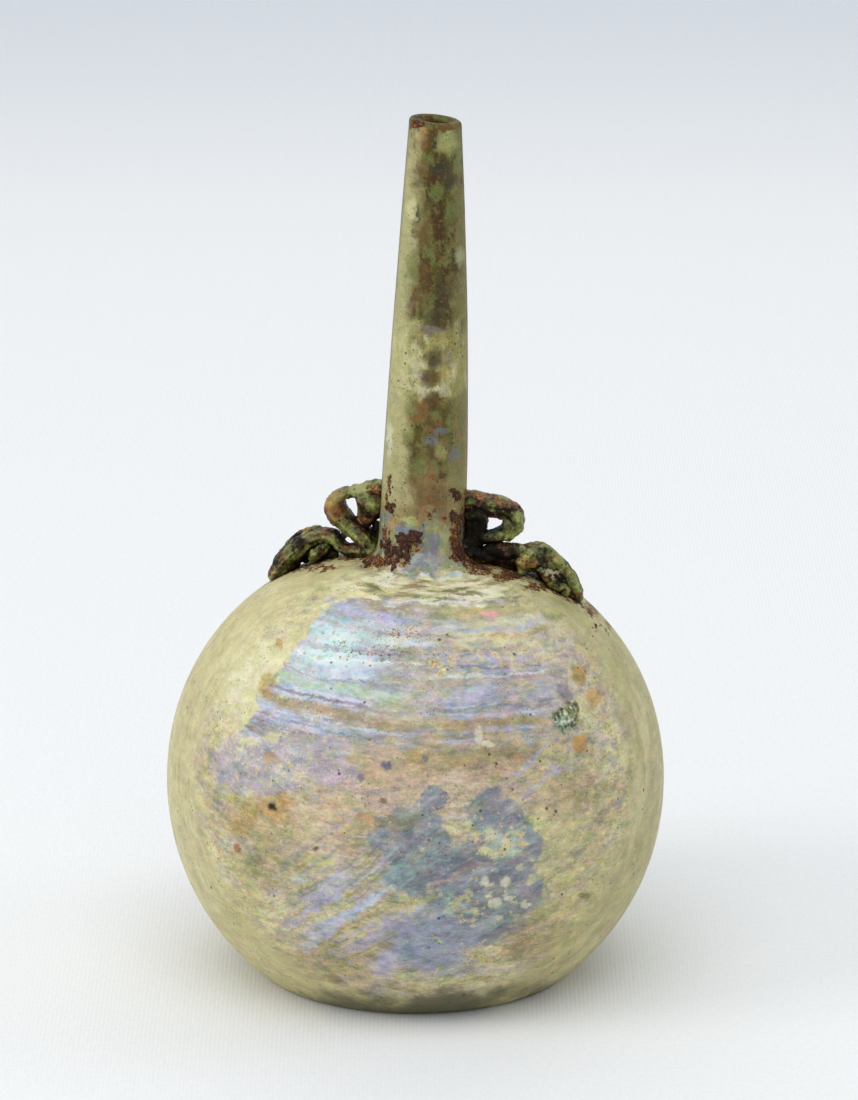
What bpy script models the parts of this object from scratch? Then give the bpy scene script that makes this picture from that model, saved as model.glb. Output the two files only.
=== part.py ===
"""Sprinkler flask of free-blown glass: a round body, a tall tapering neck and two trailed handles.

Metres, +Z up. The origin is the middle of the base, on the surface that the flask stands on.
The handles lie to the left (-X) and right (+X) of the neck, each a trail of hot glass that was
dropped on the shoulder, pinched along it, looped up and pressed against the neck.
"""

from math import atan2, cos, pi, radians, sin, sqrt

import bpy
import bmesh
from mathutils import Matrix, Vector

# Body
BODY_RADIUS = 0.050
BODY_CENTRE_HEIGHT = 0.0386
BODY_WALL = 0.0018
SHOULDER_DROP = 0.0036          # how far the blown top sinks below a true sphere at the neck
SHOULDER_DROP_POWER = 6

# Base
BASE_EDGE_ROUND = 0.0025
BASE_WALL = 0.0030
FLOOR_CORNER_ROUND = 0.0060     # inside, where the wall turns into the floor
KICK_RADIUS = 0.0220            # pushed-in middle of the base
KICK_FLOOR_SHARE = 0.9          # of a small flask's flat floor, the most that the kick takes
KICK_HEIGHT = 0.0050

# Neck
TOTAL_HEIGHT = 0.1740
NECK_FOOT_RADIUS = 0.0086
MOUTH_RADIUS = 0.0051
NECK_TAPER_POWER = 1.45         # above 1, the neck narrows faster towards the mouth
NECK_WALL = 0.0018
NECK_FILLET = 0.0050            # outside, where the neck grows out of the shoulder
NECK_FOOT_SHIFT = 0.0010        # how far the neck's foot stands off the body's axis, to the right
NECK_FOOT_SHIFT_REACH = 0.0070  # depth of shoulder that settles under the shifted neck
NECK_LEAN = 0.0030              # how much further the mouth stands to the right than the foot
NECK_LEAN_POWER = 0.85          # below 1, the lean is steeper at the foot
MOUTH_SLOPE = radians(6.0)      # the rim is lower on the right
MOUTH_SLOPE_REACH = 0.0120      # length of neck that the sloping rim bends

# Handles
HANDLE_GAP = 0.0003
HANDLE_UNIT = 0.001             # length of one unit in the handles' routes, so it sets their size
LEFT_AZIMUTH = radians(160.0)
RIGHT_AZIMUTH = radians(0.0)

# Fineness of the faceted surfaces
TURN_STEPS = 40
BODY_STEPS = 16
NECK_STEPS = 7
CORNER_STEPS = 4
KICK_STEPS = 4
TRAIL_STEPS = 3
TRAIL_SIDES = 2
CREASE_ANGLE = radians(40.0)    # sharper edges than this aren't shaded smooth
WELD_DISTANCE = 0.00001

# Search for the place where the neck's fillet touches the shoulder
WIDEST_SHOULDER_POLAR = radians(60.0)
HALVINGS = 50

LIP_RADIUS = NECK_WALL / 2


def body_distance(polar, offset):
    """Distance from the body's centre to its surface, at an angle from straight up."""
    sink = SHOULDER_DROP * max(cos(polar), 0.0) ** SHOULDER_DROP_POWER
    return BODY_RADIUS - sink + offset


def body_point(polar, offset):
    distance = body_distance(polar, offset)
    return Vector((distance * sin(polar), BODY_CENTRE_HEIGHT + distance * cos(polar)))


def body_normal(polar, offset):
    """Direction straight out of the body's surface."""
    upward = max(cos(polar), 0.0) ** (SHOULDER_DROP_POWER - 1)
    growth = SHOULDER_DROP * SHOULDER_DROP_POWER * upward * sin(polar)
    outward = Vector((sin(polar), cos(polar)))
    along = Vector((cos(polar), -sin(polar)))
    run = growth * outward + body_distance(polar, offset) * along
    return Vector((-run.y, run.x)).normalized()


def shoulder_top():
    return body_point(0.0, 0.0).y


def neck_radius(height, offset):
    """Radius of the neck, which tapers from the shoulder to just under the lip."""
    foot = shoulder_top()
    share = (height - foot) / (TOTAL_HEIGHT - LIP_RADIUS - foot)
    share = min(max(share, 0.0), 1.0)
    taper = (NECK_FOOT_RADIUS - MOUTH_RADIUS) * share ** NECK_TAPER_POWER
    return NECK_FOOT_RADIUS - taper + offset


def neck_fillet(body_offset, neck_offset):
    """Centre, radius and last angle of the arc that joins the neck to the shoulder."""
    radius = NECK_FILLET - neck_offset
    low, high = 0.0, WIDEST_SHOULDER_POLAR
    for _ in range(HALVINGS):
        polar = (low + high) / 2
        centre = body_point(polar, body_offset) + body_normal(polar, body_offset) * radius
        if centre.x < neck_radius(centre.y, neck_offset) + radius:
            low = polar
        else:
            high = polar
    return centre, radius, polar


def floor_corner(body_offset, floor, radius):
    """Centre of the arc that joins the body's wall to a flat floor, and its first polar angle."""
    reach = BODY_RADIUS + body_offset - radius
    drop = BODY_CENTRE_HEIGHT - floor - radius
    across = sqrt(reach ** 2 - drop ** 2)
    return Vector((across, floor + radius)), atan2(across, -drop)


def kick_height(radius):
    """Height of the pushed-in base above the standing ring."""
    share = min(radius / KICK_RADIUS, 1.0)
    return KICK_HEIGHT * (1.0 + cos(pi * share)) / 2


def floor_run(start, floor):
    """Points from a corner's inner end to the axis, over the kick."""
    inner = min(KICK_RADIUS, start * KICK_FLOOR_SHARE)
    points = []
    for step in range(KICK_STEPS):
        radius = inner * (1.0 - step / KICK_STEPS)
        points.append(Vector((radius, floor + kick_height(radius))))
    points.append(Vector((0.0, floor + KICK_HEIGHT)))
    return points


def wall_run(body_offset, neck_offset, floor, corner_radius):
    """One face of the glass, from below the lip down the neck and the body to the axis."""
    fillet, fillet_radius, shoulder_polar = neck_fillet(body_offset, neck_offset)
    corner, corner_polar = floor_corner(body_offset, floor, corner_radius)
    points = []

    top = TOTAL_HEIGHT - LIP_RADIUS
    for step in range(NECK_STEPS):
        height = top + (fillet.y - top) * step / NECK_STEPS
        points.append(Vector((neck_radius(height, neck_offset), height)))

    last_angle = pi / 2 - shoulder_polar
    for step in range(CORNER_STEPS):
        angle = last_angle * step / CORNER_STEPS
        points.append(fillet - fillet_radius * Vector((cos(angle), sin(angle))))

    for step in range(BODY_STEPS + 1):
        polar = shoulder_polar + (corner_polar - shoulder_polar) * step / BODY_STEPS
        points.append(body_point(polar, body_offset))

    for step in range(1, CORNER_STEPS + 1):
        polar = corner_polar + (pi - corner_polar) * step / CORNER_STEPS
        points.append(corner + corner_radius * Vector((sin(polar), cos(polar))))
    points.extend(floor_run(corner.x, floor))
    return points


def lip_run():
    """Rounded lip, from the bore over the top to the outside."""
    middle = Vector((neck_radius(TOTAL_HEIGHT, 0.0) - LIP_RADIUS, TOTAL_HEIGHT - LIP_RADIUS))
    points = []
    for step in range(1, CORNER_STEPS + 1):
        angle = pi - pi * step / (CORNER_STEPS + 1)
        points.append(middle + LIP_RADIUS * Vector((cos(angle), sin(angle))))
    return points


def flask_outline():
    inside = wall_run(-BODY_WALL, -NECK_WALL, BASE_WALL, FLOOR_CORNER_ROUND)
    outside = wall_run(0.0, 0.0, 0.0, BASE_EDGE_ROUND)
    return list(reversed(inside)) + lip_run() + outside


def clearance_outline():
    """The flask's outside with the handles' gap added, closed over the mouth."""
    grown = wall_run(HANDLE_GAP, HANDLE_GAP, -HANDLE_GAP, BASE_EDGE_ROUND)
    return [Vector((0.0, grown[0].y))] + grown


def neck_offset_at(height):
    """How far the neck's middle has leant off the axis at a height."""
    foot = shoulder_top()
    settled = min(max((height - foot) / NECK_FOOT_SHIFT_REACH + 1.0, 0.0), 1.0)
    shift = NECK_FOOT_SHIFT * settled ** 2 * (3.0 - 2.0 * settled)
    share = min(max((height - foot) / (TOTAL_HEIGHT - foot), 0.0), 1.0)
    return shift + NECK_LEAN * share ** NECK_LEAN_POWER


def lean_and_slope(mesh):
    """Leans the neck to the right and slopes its rim."""
    slope_foot = TOTAL_HEIGHT - MOUTH_SLOPE_REACH
    for vertex in mesh.vertices:
        height = vertex.co.z
        rise = min(max((height - slope_foot) / MOUTH_SLOPE_REACH, 0.0), 1.0)
        vertex.co.z -= vertex.co.x * rise * sin(MOUTH_SLOPE)
        vertex.co.x += neck_offset_at(height)


def glass(name, colour, roughness):
    material = bpy.data.materials.new(name)
    material.use_nodes = True
    shader = material.node_tree.nodes["Principled BSDF"]
    shader.inputs["Base Color"].default_value = colour
    shader.inputs["Roughness"].default_value = roughness
    shader.inputs["Metallic"].default_value = 0.0
    return material


def evaluated_mesh(thing, name):
    """The shape of an object after its modifiers, as a mesh with no loose caps or doubles."""
    depsgraph = bpy.context.evaluated_depsgraph_get()
    mesh = bpy.data.meshes.new_from_object(thing.evaluated_get(depsgraph))
    mesh.name = name
    mesh.transform(thing.matrix_world)
    work = bmesh.new()
    work.from_mesh(mesh)
    bmesh.ops.remove_doubles(work, verts=work.verts, dist=WELD_DISTANCE)
    work.to_mesh(mesh)
    work.free()
    bpy.data.objects.remove(thing)
    return mesh


def turned(name, outline, collection):
    """Turns an outline about the Z axis, then leans its neck."""
    profile = bpy.data.meshes.new(name + "_profile")
    edges = [(index, index + 1) for index in range(len(outline) - 1)]
    profile.from_pydata([(point.x, 0.0, point.y) for point in outline], edges, [])
    wire = bpy.data.objects.new(name + "_profile", profile)
    bpy.context.scene.collection.objects.link(wire)
    screw = wire.modifiers.new("Turn", "SCREW")
    screw.axis = "Z"
    screw.steps = TURN_STEPS
    screw.render_steps = TURN_STEPS
    screw.use_merge_vertices = True
    screw.merge_threshold = WELD_DISTANCE
    bpy.context.view_layer.update()
    mesh = evaluated_mesh(wire, name)
    lean_and_slope(mesh)
    piece = bpy.data.objects.new(name, mesh)
    collection.objects.link(piece)
    return piece


def over_shoulder(along, height):
    """Point of a handle's plane: a distance along the shoulder from the neck's foot, and a height."""
    polar = (NECK_FOOT_RADIUS + along) / BODY_RADIUS
    return body_point(polar, height)


def trail(name, route, azimuth, flatness, collection):
    """A trail of glass. The route holds distance along, height and half thickness, in units."""
    curve = bpy.data.curves.new(name, "CURVE")
    curve.dimensions = "3D"
    curve.resolution_u = TRAIL_STEPS
    curve.bevel_depth = HANDLE_UNIT
    curve.bevel_resolution = TRAIL_SIDES
    curve.use_fill_caps = True
    spline = curve.splines.new("BEZIER")
    spline.bezier_points.add(len(route) - 1)
    for point, (along, height, half_thickness) in zip(spline.bezier_points, route):
        place = over_shoulder(along * HANDLE_UNIT, height * HANDLE_UNIT)
        point.co = (place.x, 0.0, place.y)
        point.radius = half_thickness
        point.handle_left_type = "AUTO"
        point.handle_right_type = "AUTO"
    strand = bpy.data.objects.new(name, curve)
    bpy.context.scene.collection.objects.link(strand)
    bpy.context.view_layer.update()
    mesh = evaluated_mesh(strand, name)
    mesh.transform(Matrix.Scale(flatness, 4, (0.0, 1.0, 0.0)))
    mesh.transform(Matrix.Rotation(azimuth, 4, "Z"))
    piece = bpy.data.objects.new(name, mesh)
    collection.objects.link(piece)
    return piece


def boolean(piece, operation, other):
    cut = piece.modifiers.new(operation.title(), "BOOLEAN")
    cut.operation = operation
    cut.solver = "EXACT"
    cut.object = other


def handle(name, trails, azimuth, clearance, collection, cutters):
    """Fuses the trails of one handle and fits them to the flask with an even gap."""
    (main_route, main_flatness), *others = trails
    piece = trail(name, main_route, azimuth, main_flatness, collection)
    for index, (route, flatness) in enumerate(others):
        part = trail(f"{name}_trail_{index + 2}", route, azimuth, flatness, cutters)
        hide_operand(part)
        boolean(piece, "UNION", part)
    boolean(piece, "DIFFERENCE", clearance)
    return piece


def hide_operand(thing):
    thing.hide_render = True
    thing.display_type = "WIRE"


# Each trail: (route, how much wider than thick). A route's points are distance along the
# shoulder from the neck's foot, height over the shoulder and half thickness, in handle units.
LEFT_TRAILS = [
    ([(24.9, 0.5, 0.8), (22.2, 1.4, 1.7), (18.9, 2.7, 2.3), (15.9, 3.9, 2.1), (13.2, 4.9, 1.6),
      (11.0, 5.2, 1.4), (9.2, 4.9, 1.3), (8.1, 3.7, 1.2), (7.6, 2.3, 1.1), (6.3, 1.4, 1.1),
      (4.1, 1.4, 1.2), (1.6, 1.4, 1.7)], 1.7),
    ([(14.6, 1.0, 0.9), (12.9, 1.9, 1.4), (11.1, 2.7, 1.3), (9.8, 3.6, 0.9)], 1.7),
    ([(0.4, 1.0, 2.0), (2.3, 4.1, 2.0), (5.0, 7.2, 1.9), (6.3, 9.5, 2.1), (6.2, 11.3, 1.9),
      (4.9, 12.7, 1.3), (3.0, 13.2, 1.0), (0.8, 13.5, 1.2), (-1.3, 14.1, 1.4), (-3.6, 14.2, 1.4)], 1.6),
    ([(-0.8, 13.0, 2.4), (-0.4, 11.2, 3.1), (0.2, 9.4, 2.6), (1.2, 7.6, 1.7), (2.4, 6.0, 1.2)], 0.8),
]
RIGHT_TRAILS = [
    ([(27.3, 0.4, 0.9), (25.1, 1.5, 1.7), (21.5, 2.8, 2.5), (18.3, 3.5, 2.9), (15.9, 4.1, 3.2),
      (13.6, 3.3, 2.6), (11.4, 2.4, 2.0), (9.0, 1.9, 1.7), (6.8, 1.0, 1.0), (4.8, 1.6, 1.6),
      (2.6, 2.4, 2.2), (0.8, 3.0, 2.0)], 1.3),
    ([(1.4, 3.4, 2.0), (3.4, 4.9, 1.5), (5.6, 5.7, 1.2), (7.8, 6.9, 1.5), (8.9, 9.0, 2.2),
      (8.3, 11.1, 2.1), (6.4, 11.9, 2.1), (3.8, 12.0, 2.2), (1.4, 12.5, 1.8), (-2.4, 12.9, 1.5)], 1.5),
    ([(0.8, 11.8, 2.0), (2.1, 10.0, 2.5), (2.5, 8.0, 2.2), (2.7, 6.0, 2.0), (2.7, 4.0, 2.2)], 1.1),
]

for leftover in list(bpy.data.objects):
    bpy.data.objects.remove(leftover)

flask_parts = bpy.data.collections.new("sprinkler_flask")
cutter_parts = bpy.data.collections.new("cutters")
for group in (flask_parts, cutter_parts):
    bpy.context.scene.collection.children.link(group)

flask = turned("flask", flask_outline(), flask_parts)
flask.data.materials.append(glass("weathered_glass", (0.52, 0.48, 0.30, 1.0), 0.45))

clearance = turned("handle_clearance", clearance_outline(), cutter_parts)
hide_operand(clearance)

dark_glass = glass("dark_green_glass", (0.06, 0.07, 0.03, 1.0), 0.35)
for name, trails, azimuth in (
    ("handle_left", LEFT_TRAILS, LEFT_AZIMUTH),
    ("handle_right", RIGHT_TRAILS, RIGHT_AZIMUTH),
):
    piece = handle(name, trails, azimuth, clearance, flask_parts, cutter_parts)
    piece.data.materials.append(dark_glass)

for piece in flask_parts.objects:
    piece.data.shade_smooth()
    piece.data.set_sharp_from_angle(angle=CREASE_ANGLE)
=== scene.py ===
from math import atan2, cos, pi, radians, sin, sqrt
from random import Random

import bmesh
import bpy
from mathutils import Matrix, Vector, noise
from mathutils.bvhtree import BVHTree


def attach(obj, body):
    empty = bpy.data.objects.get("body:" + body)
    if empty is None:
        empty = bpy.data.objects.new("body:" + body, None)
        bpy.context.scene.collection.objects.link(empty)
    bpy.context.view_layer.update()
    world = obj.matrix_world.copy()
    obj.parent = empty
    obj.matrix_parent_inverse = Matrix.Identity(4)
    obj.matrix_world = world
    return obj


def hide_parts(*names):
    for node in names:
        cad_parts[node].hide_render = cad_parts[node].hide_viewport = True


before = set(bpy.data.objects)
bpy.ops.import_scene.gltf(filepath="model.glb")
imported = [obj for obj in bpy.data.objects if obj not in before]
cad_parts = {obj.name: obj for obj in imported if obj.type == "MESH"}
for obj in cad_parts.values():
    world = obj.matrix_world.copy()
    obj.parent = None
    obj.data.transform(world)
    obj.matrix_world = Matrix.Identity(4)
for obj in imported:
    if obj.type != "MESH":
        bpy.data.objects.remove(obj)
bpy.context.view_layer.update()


# The flask: one bubble of glass, blown free and pulled out into a long tapering neck. Its base was
# pushed in so that it stands, and its rim was cut off at a slight slope and rounded in the fire.
BODY_RADIUS = 0.0501
BODY_CENTRE = 0.0386
SHOULDER_DROP = 0.0036
SHOULDER_DROP_POWER = 6
BASE_EDGE_ROUND = 0.0025
KICK_RADIUS = 0.0220
KICK_HEIGHT = 0.0050
FLASK_HEIGHT = 0.1740
NECK_FOOT_RADIUS = 0.0086
MOUTH_RADIUS = 0.0051
NECK_TAPER_POWER = 1.45
NECK_FILLET = 0.0050
NECK_FOOT_SHIFT = 0.0010
NECK_FOOT_SHIFT_REACH = 0.0070
NECK_LEAN = 0.0030
NECK_LEAN_POWER = 0.85
NECK_SWELL = 0.0004             # the blown neck bellies a little to the right above its middle
MOUTH_SLOPE = radians(6.0)
MOUTH_SLOPE_REACH = 0.0120
GLASS_WALL = 0.0018
LIP_ROUND = 0.0007
TURN_STEPS = 168                # how finely each part of the outline is drawn
KICK_STEPS = 10
BASE_EDGE_STEPS = 7
BODY_STEPS = 84
FILLET_STEPS = 8
NECK_STEPS = 63
LIP_STEPS = 4
BLOWN_UNEVENNESS = 0.00012
BLOWN_WAVES = 45.0              # per metre
BLOWN_FROM = 0.006              # below this height the waves die down, so that the flask stands flat
HALVINGS = 40
WELD = 0.00001
RIM_BAND = 0.00005
RIM_ANGLE = 1.0

shoulder_top = BODY_CENTRE + BODY_RADIUS - SHOULDER_DROP


def body_point(polar, outward=0.0):
    """Point of the body's outline: its distance from the axis and its height."""
    distance = BODY_RADIUS - SHOULDER_DROP * max(cos(polar), 0.0) ** SHOULDER_DROP_POWER + outward
    return Vector((distance * sin(polar), BODY_CENTRE + distance * cos(polar)))


def neck_share(height):
    return min(max((height - shoulder_top) / (FLASK_HEIGHT - shoulder_top), 0.0), 1.0)


def neck_radius(height):
    taper = (NECK_FOOT_RADIUS - MOUTH_RADIUS) * neck_share(height) ** NECK_TAPER_POWER
    return NECK_FOOT_RADIUS - taper


def neck_middle(height):
    """How far to the right of the body's axis the middle of the neck stands."""
    settled = min(max((height - shoulder_top) / NECK_FOOT_SHIFT_REACH + 1.0, 0.0), 1.0)
    shift = NECK_FOOT_SHIFT * settled ** 2 * (3.0 - 2.0 * settled)
    return shift + NECK_LEAN * neck_share(height) ** NECK_LEAN_POWER


def fillet_at_shoulder():
    """Centre of the round that joins neck and shoulder, and the angle at which it meets the body."""
    low, high = 0.0, radians(60.0)
    for _ in range(HALVINGS):
        polar = (low + high) / 2
        centre = body_point(polar, NECK_FILLET)
        if centre.x < neck_radius(centre.y) + NECK_FILLET:
            low = polar
        else:
            high = polar
    return centre, polar


def flask_outline():
    """Half outline of the outside, from the middle of the pushed-in base to the mouth."""
    outline = []
    for step in range(KICK_STEPS):
        share = step / KICK_STEPS
        outline.append(Vector((KICK_RADIUS * share, KICK_HEIGHT * (1.0 + cos(pi * share)) / 2)))
    reach = BODY_RADIUS - BASE_EDGE_ROUND
    drop = BODY_CENTRE - BASE_EDGE_ROUND
    edge = Vector((sqrt(reach ** 2 - drop ** 2), BASE_EDGE_ROUND))
    outline.append(Vector((KICK_RADIUS, 0.0)))
    edge_angle = atan2(edge.x, -drop)
    for step in range(BASE_EDGE_STEPS):
        angle = pi + (edge_angle - pi) * step / BASE_EDGE_STEPS
        outline.append(edge + BASE_EDGE_ROUND * Vector((sin(angle), cos(angle))))
    fillet, shoulder_angle = fillet_at_shoulder()
    for step in range(BODY_STEPS):
        outline.append(body_point(edge_angle + (shoulder_angle - edge_angle) * step / BODY_STEPS))
    for step in range(FILLET_STEPS):
        angle = (pi / 2 - shoulder_angle) * (1.0 - step / FILLET_STEPS)
        outline.append(fillet - NECK_FILLET * Vector((cos(angle), sin(angle))))
    for step in range(NECK_STEPS + 1):
        height = fillet.y + (FLASK_HEIGHT - fillet.y) * step / NECK_STEPS
        outline.append(Vector((neck_radius(height), height)))
    return outline


def blown_shape(place):
    """Where a point of the turned flask settled: the neck leans, the rim slopes, the wall waves softly."""
    height = place.z
    rise = min(max((height - FLASK_HEIGHT + MOUTH_SLOPE_REACH) / MOUTH_SLOPE_REACH, 0.0), 1.0)
    swell = NECK_SWELL * sin(pi * neck_share(height)) if place.x > 0.0 else 0.0
    wave = noise.noise(place * BLOWN_WAVES) * BLOWN_UNEVENNESS * min(height / BLOWN_FROM, 1.0)
    outward = Vector((place.x, place.y, 0.0)).normalized() if place.xy.length > 0.001 else Vector()
    settled = Vector((neck_middle(height) + swell, 0.0, -place.x * rise * sin(MOUTH_SLOPE)))
    return place + outward * wave + settled


def into_scene(work, name):
    """A smooth object made of the bmesh, which is freed."""
    for face in work.faces:
        face.smooth = True
    mesh = bpy.data.meshes.new(name)
    work.to_mesh(mesh)
    work.free()
    made = bpy.data.objects.new(name, mesh)
    bpy.context.scene.collection.objects.link(made)
    return made


work = bmesh.new()
outline = [work.verts.new((point.x, 0.0, point.y)) for point in flask_outline()]
run = [work.edges.new(pair) for pair in zip(outline, outline[1:])]
bmesh.ops.spin(work, geom=outline + run, cent=(0.0, 0.0, 0.0), axis=(0.0, 0.0, 1.0),
               angle=2 * pi, steps=TURN_STEPS, use_merge=True)
bmesh.ops.remove_doubles(work, verts=work.verts, dist=WELD)
bmesh.ops.recalc_face_normals(work, faces=work.faces)
bmesh.ops.solidify(work, geom=list(work.faces), thickness=GLASS_WALL)
at_rim = [edge for edge in work.edges if min(end.co.z for end in edge.verts) > FLASK_HEIGHT - RIM_BAND]
rim = [edge for edge in at_rim if edge.calc_face_angle(0.0) > RIM_ANGLE]
bmesh.ops.bevel(work, geom=rim, offset=LIP_ROUND, offset_type="OFFSET", segments=LIP_STEPS, profile=0.5,
                affect="EDGES", material=-1)
for vertex in work.verts:
    vertex.co = blown_shape(vertex.co)
flask_surface = BVHTree.FromBMesh(work)
flask_glass = into_scene(work, "flask_glass")
glass_mesh = flask_glass.data


# The flask's skin: centuries in the ground turned the glass to a buff crust with dark pits. Where it is
# thin it shines in lilac and pale blue along the lines of blowing, and a flake came off the front.
FRONT_TILT = radians(16.5)      # how far one looks down on the front
MM = 1000.0


def colour(red, green, blue):
    """A colour in screen values from 0 to 255, as the linear values that shaders take."""
    def linear(value):
        share = value / 255.0
        return share / 12.92 if share <= 0.04045 else ((share + 0.055) / 1.055) ** 2.4
    return (linear(red), linear(green), linear(blue), 1.0)


class Sheet:
    """A node tree that is being filled. Each call adds one node and gives back its result."""

    def __init__(self, tree):
        self.tree = tree

    def fill(self, made, inputs):
        """Gives a node its inputs. Another node's result is linked, any other value is set."""
        for name, value in inputs.items():
            if isinstance(value, bpy.types.NodeSocket):
                self.tree.links.new(value, made.inputs[name])
            else:
                made.inputs[name].default_value = value

    def node(self, kind, inputs=None, **settings):
        made = self.tree.nodes.new(kind)
        for name, value in settings.items():
            setattr(made, name, value)
        self.fill(made, inputs or {})
        return made

    def maths(self, operation, first, second=0.0, clamp=False):
        made = self.node("ShaderNodeMath", {0: first, 1: second}, operation=operation, use_clamp=clamp)
        return made.outputs[0]

    def plus(self, first, second, clamp=False):
        return self.maths("ADD", first, second, clamp)

    def minus(self, first, second, clamp=False):
        return self.maths("SUBTRACT", first, second, clamp)

    def times(self, *values):
        result = values[0]
        for value in values[1:]:
            result = self.maths("MULTIPLY", result, value)
        return result

    def vector(self, operation, first, second=(0.0, 0.0, 0.0)):
        return self.node("ShaderNodeVectorMath", {0: first, 1: second}, operation=operation).outputs[0]

    def parts(self, place):
        return self.node("ShaderNodeSeparateXYZ", {0: place}).outputs

    def in_millimetres(self):
        """The place on the object, in millimetres."""
        return self.turned(self.node("ShaderNodeTexCoord").outputs["Object"], scale=(MM, MM, MM))

    def stored(self, name):
        """What the mesh itself tells under this name."""
        return self.node("ShaderNodeAttribute", attribute_name=name).outputs["Fac"]

    def turned(self, place, shift=(0.0, 0.0, 0.0), turn=(0.0, 0.0, 0.0), scale=(1.0, 1.0, 1.0)):
        return self.node("ShaderNodeMapping", {0: place, 1: shift, 2: turn, 3: scale}).outputs[0]

    def noise(self, place, fineness, detail=3.0, roughness=0.55):
        return self.node("ShaderNodeTexNoise", {"Vector": place, "Scale": fineness, "Detail": detail,
                                                "Roughness": roughness}).outputs

    def shake(self, place, fineness, detail=3.0, roughness=0.55):
        """A wandering shift, up to half a unit each way."""
        return self.vector("SUBTRACT", self.noise(place, fineness, detail, roughness)[1], (0.5, 0.5, 0.5))

    def bump(self, height, strength, distance):
        """A normal that follows the height, whose whole range stands for the distance in metres."""
        return self.node("ShaderNodeBump", {"Strength": strength, "Distance": distance,
                                            "Height": height}).outputs["Normal"]

    def between(self, value, low, high, bottom=0.0, top=1.0):
        """Rises smoothly from bottom to top as the value goes from low to high."""
        return self.node("ShaderNodeMapRange", {0: value, 1: low, 2: high, 3: bottom, 4: top},
                         interpolation_type="SMOOTHSTEP", clamp=False).outputs[0]

    def mix(self, share, under, over, blend="MIX", name="Mix"):
        return self.node("ShaderNodeMix", {0: share, 6: under, 7: over}, data_type="RGBA", blend_type=blend,
                         name=name).outputs[2]

    def over(self, under, pigment, *shares):
        """The paint with a pigment over it, by the product of the shares."""
        return self.mix(self.times(*shares), under, pigment)

    def layered(self, under, *layers):
        """The paint with layers over it: a value, from and to where it takes hold, how much, pigment."""
        for value, low, high, amount, pigment in layers:
            under = self.mix(self.between(value, low, high, 0.0, amount), under, pigment)
        return under

    def marked(self, value, name):
        """The value itself, through a node of this name, at which it can be left out."""
        return self.node("ShaderNodeMath", {0: value, 1: 1.0}, operation="MULTIPLY", name=name).outputs[0]

    def most(self, *values):
        result = values[0]
        for value in values[1:]:
            result = self.maths("MAXIMUM", result, value)
        return result

    def group(self, group, inputs):
        return self.node("ShaderNodeGroup", inputs, node_tree=group).outputs

    def patch(self, where, centre, reach, softness, amount):
        """An oval patch, softness being the share of its reach over which it fades."""
        return self.group(patch_group, {
            "Place": where, "Stretch": [1.0 / length for length in reach],
            "Shift": [-middle / length for middle, length in zip(centre, reach)],
            "Inner": (1.0 - softness) ** 2, "Amount": amount})["Mask"]


def new_material(name):
    """A material to be filled, its sheet and its shader."""
    material = bpy.data.materials.new(name)
    material.use_nodes = True
    return material, Sheet(material.node_tree), material.node_tree.nodes["Principled BSDF"]


def new_group(name, inputs, outputs):
    """An empty shader group with named sockets, its sheet, its inputs and its output node."""
    tree = bpy.data.node_groups.new(name, "ShaderNodeTree")
    for socket, (kind, value) in inputs.items():
        made = tree.interface.new_socket(socket, in_out="INPUT", socket_type=kind)
        made.default_value = value
    for socket, kind in outputs.items():
        tree.interface.new_socket(socket, in_out="OUTPUT", socket_type=kind)
    sheet = Sheet(tree)
    return tree, sheet, sheet.node("NodeGroupInput").outputs, sheet.node("NodeGroupOutput")


FLOAT, PLACE, PAINT = "NodeSocketFloat", "NodeSocketVector", "NodeSocketColor"

# A patch with a soft or sharp edge. Stretch and Shift bring its place to a ball of reach one.
patch_group, sheet, given, result = new_group(
    "patch", {"Place": (PLACE, (0, 0, 0)), "Stretch": (PLACE, (1, 1, 1)), "Shift": (PLACE, (0, 0, 0)),
              "Inner": (FLOAT, 0.5), "Amount": (FLOAT, 1.0)}, {"Mask": FLOAT})
spot = sheet.node("ShaderNodeVectorMath", {0: given["Place"], 1: given["Stretch"], 2: given["Shift"]},
                  operation="MULTIPLY_ADD").outputs[0]
away = sheet.node("ShaderNodeVectorMath", {0: spot, 1: spot}, operation="DOT_PRODUCT").outputs["Value"]
sheet.fill(result, {"Mask": sheet.between(away, given["Inner"], 1.0, given["Amount"], 0.0)})

# Small pits and specks, scattered in clusters.
pits_group, sheet, given, result = new_group(
    "pits", {"Place": (PLACE, (0, 0, 0)), "Per mm": (FLOAT, 0.8), "Size": (FLOAT, 0.2),
             "Clustering": (FLOAT, 0.5)}, {"Mask": FLOAT})
cells = sheet.node("ShaderNodeTexVoronoi", {"Vector": given["Place"], "Scale": given["Per mm"]},
                   feature="F1").outputs
chance = sheet.parts(cells["Color"])[0]
grouped = sheet.between(sheet.noise(given["Place"], 0.16, 2.0)[0], 0.42, 0.68)
loose = sheet.minus(1.0, given["Clustering"])
size = sheet.times(given["Size"], chance, sheet.plus(grouped, loose))
share_out = sheet.maths("DIVIDE", cells["Distance"], sheet.plus(size, 0.001))
pit = sheet.minus(1.0, share_out, clamp=True)
sheet.fill(result, {"Mask": sheet.between(pit, 0.0, 0.5)})

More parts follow.
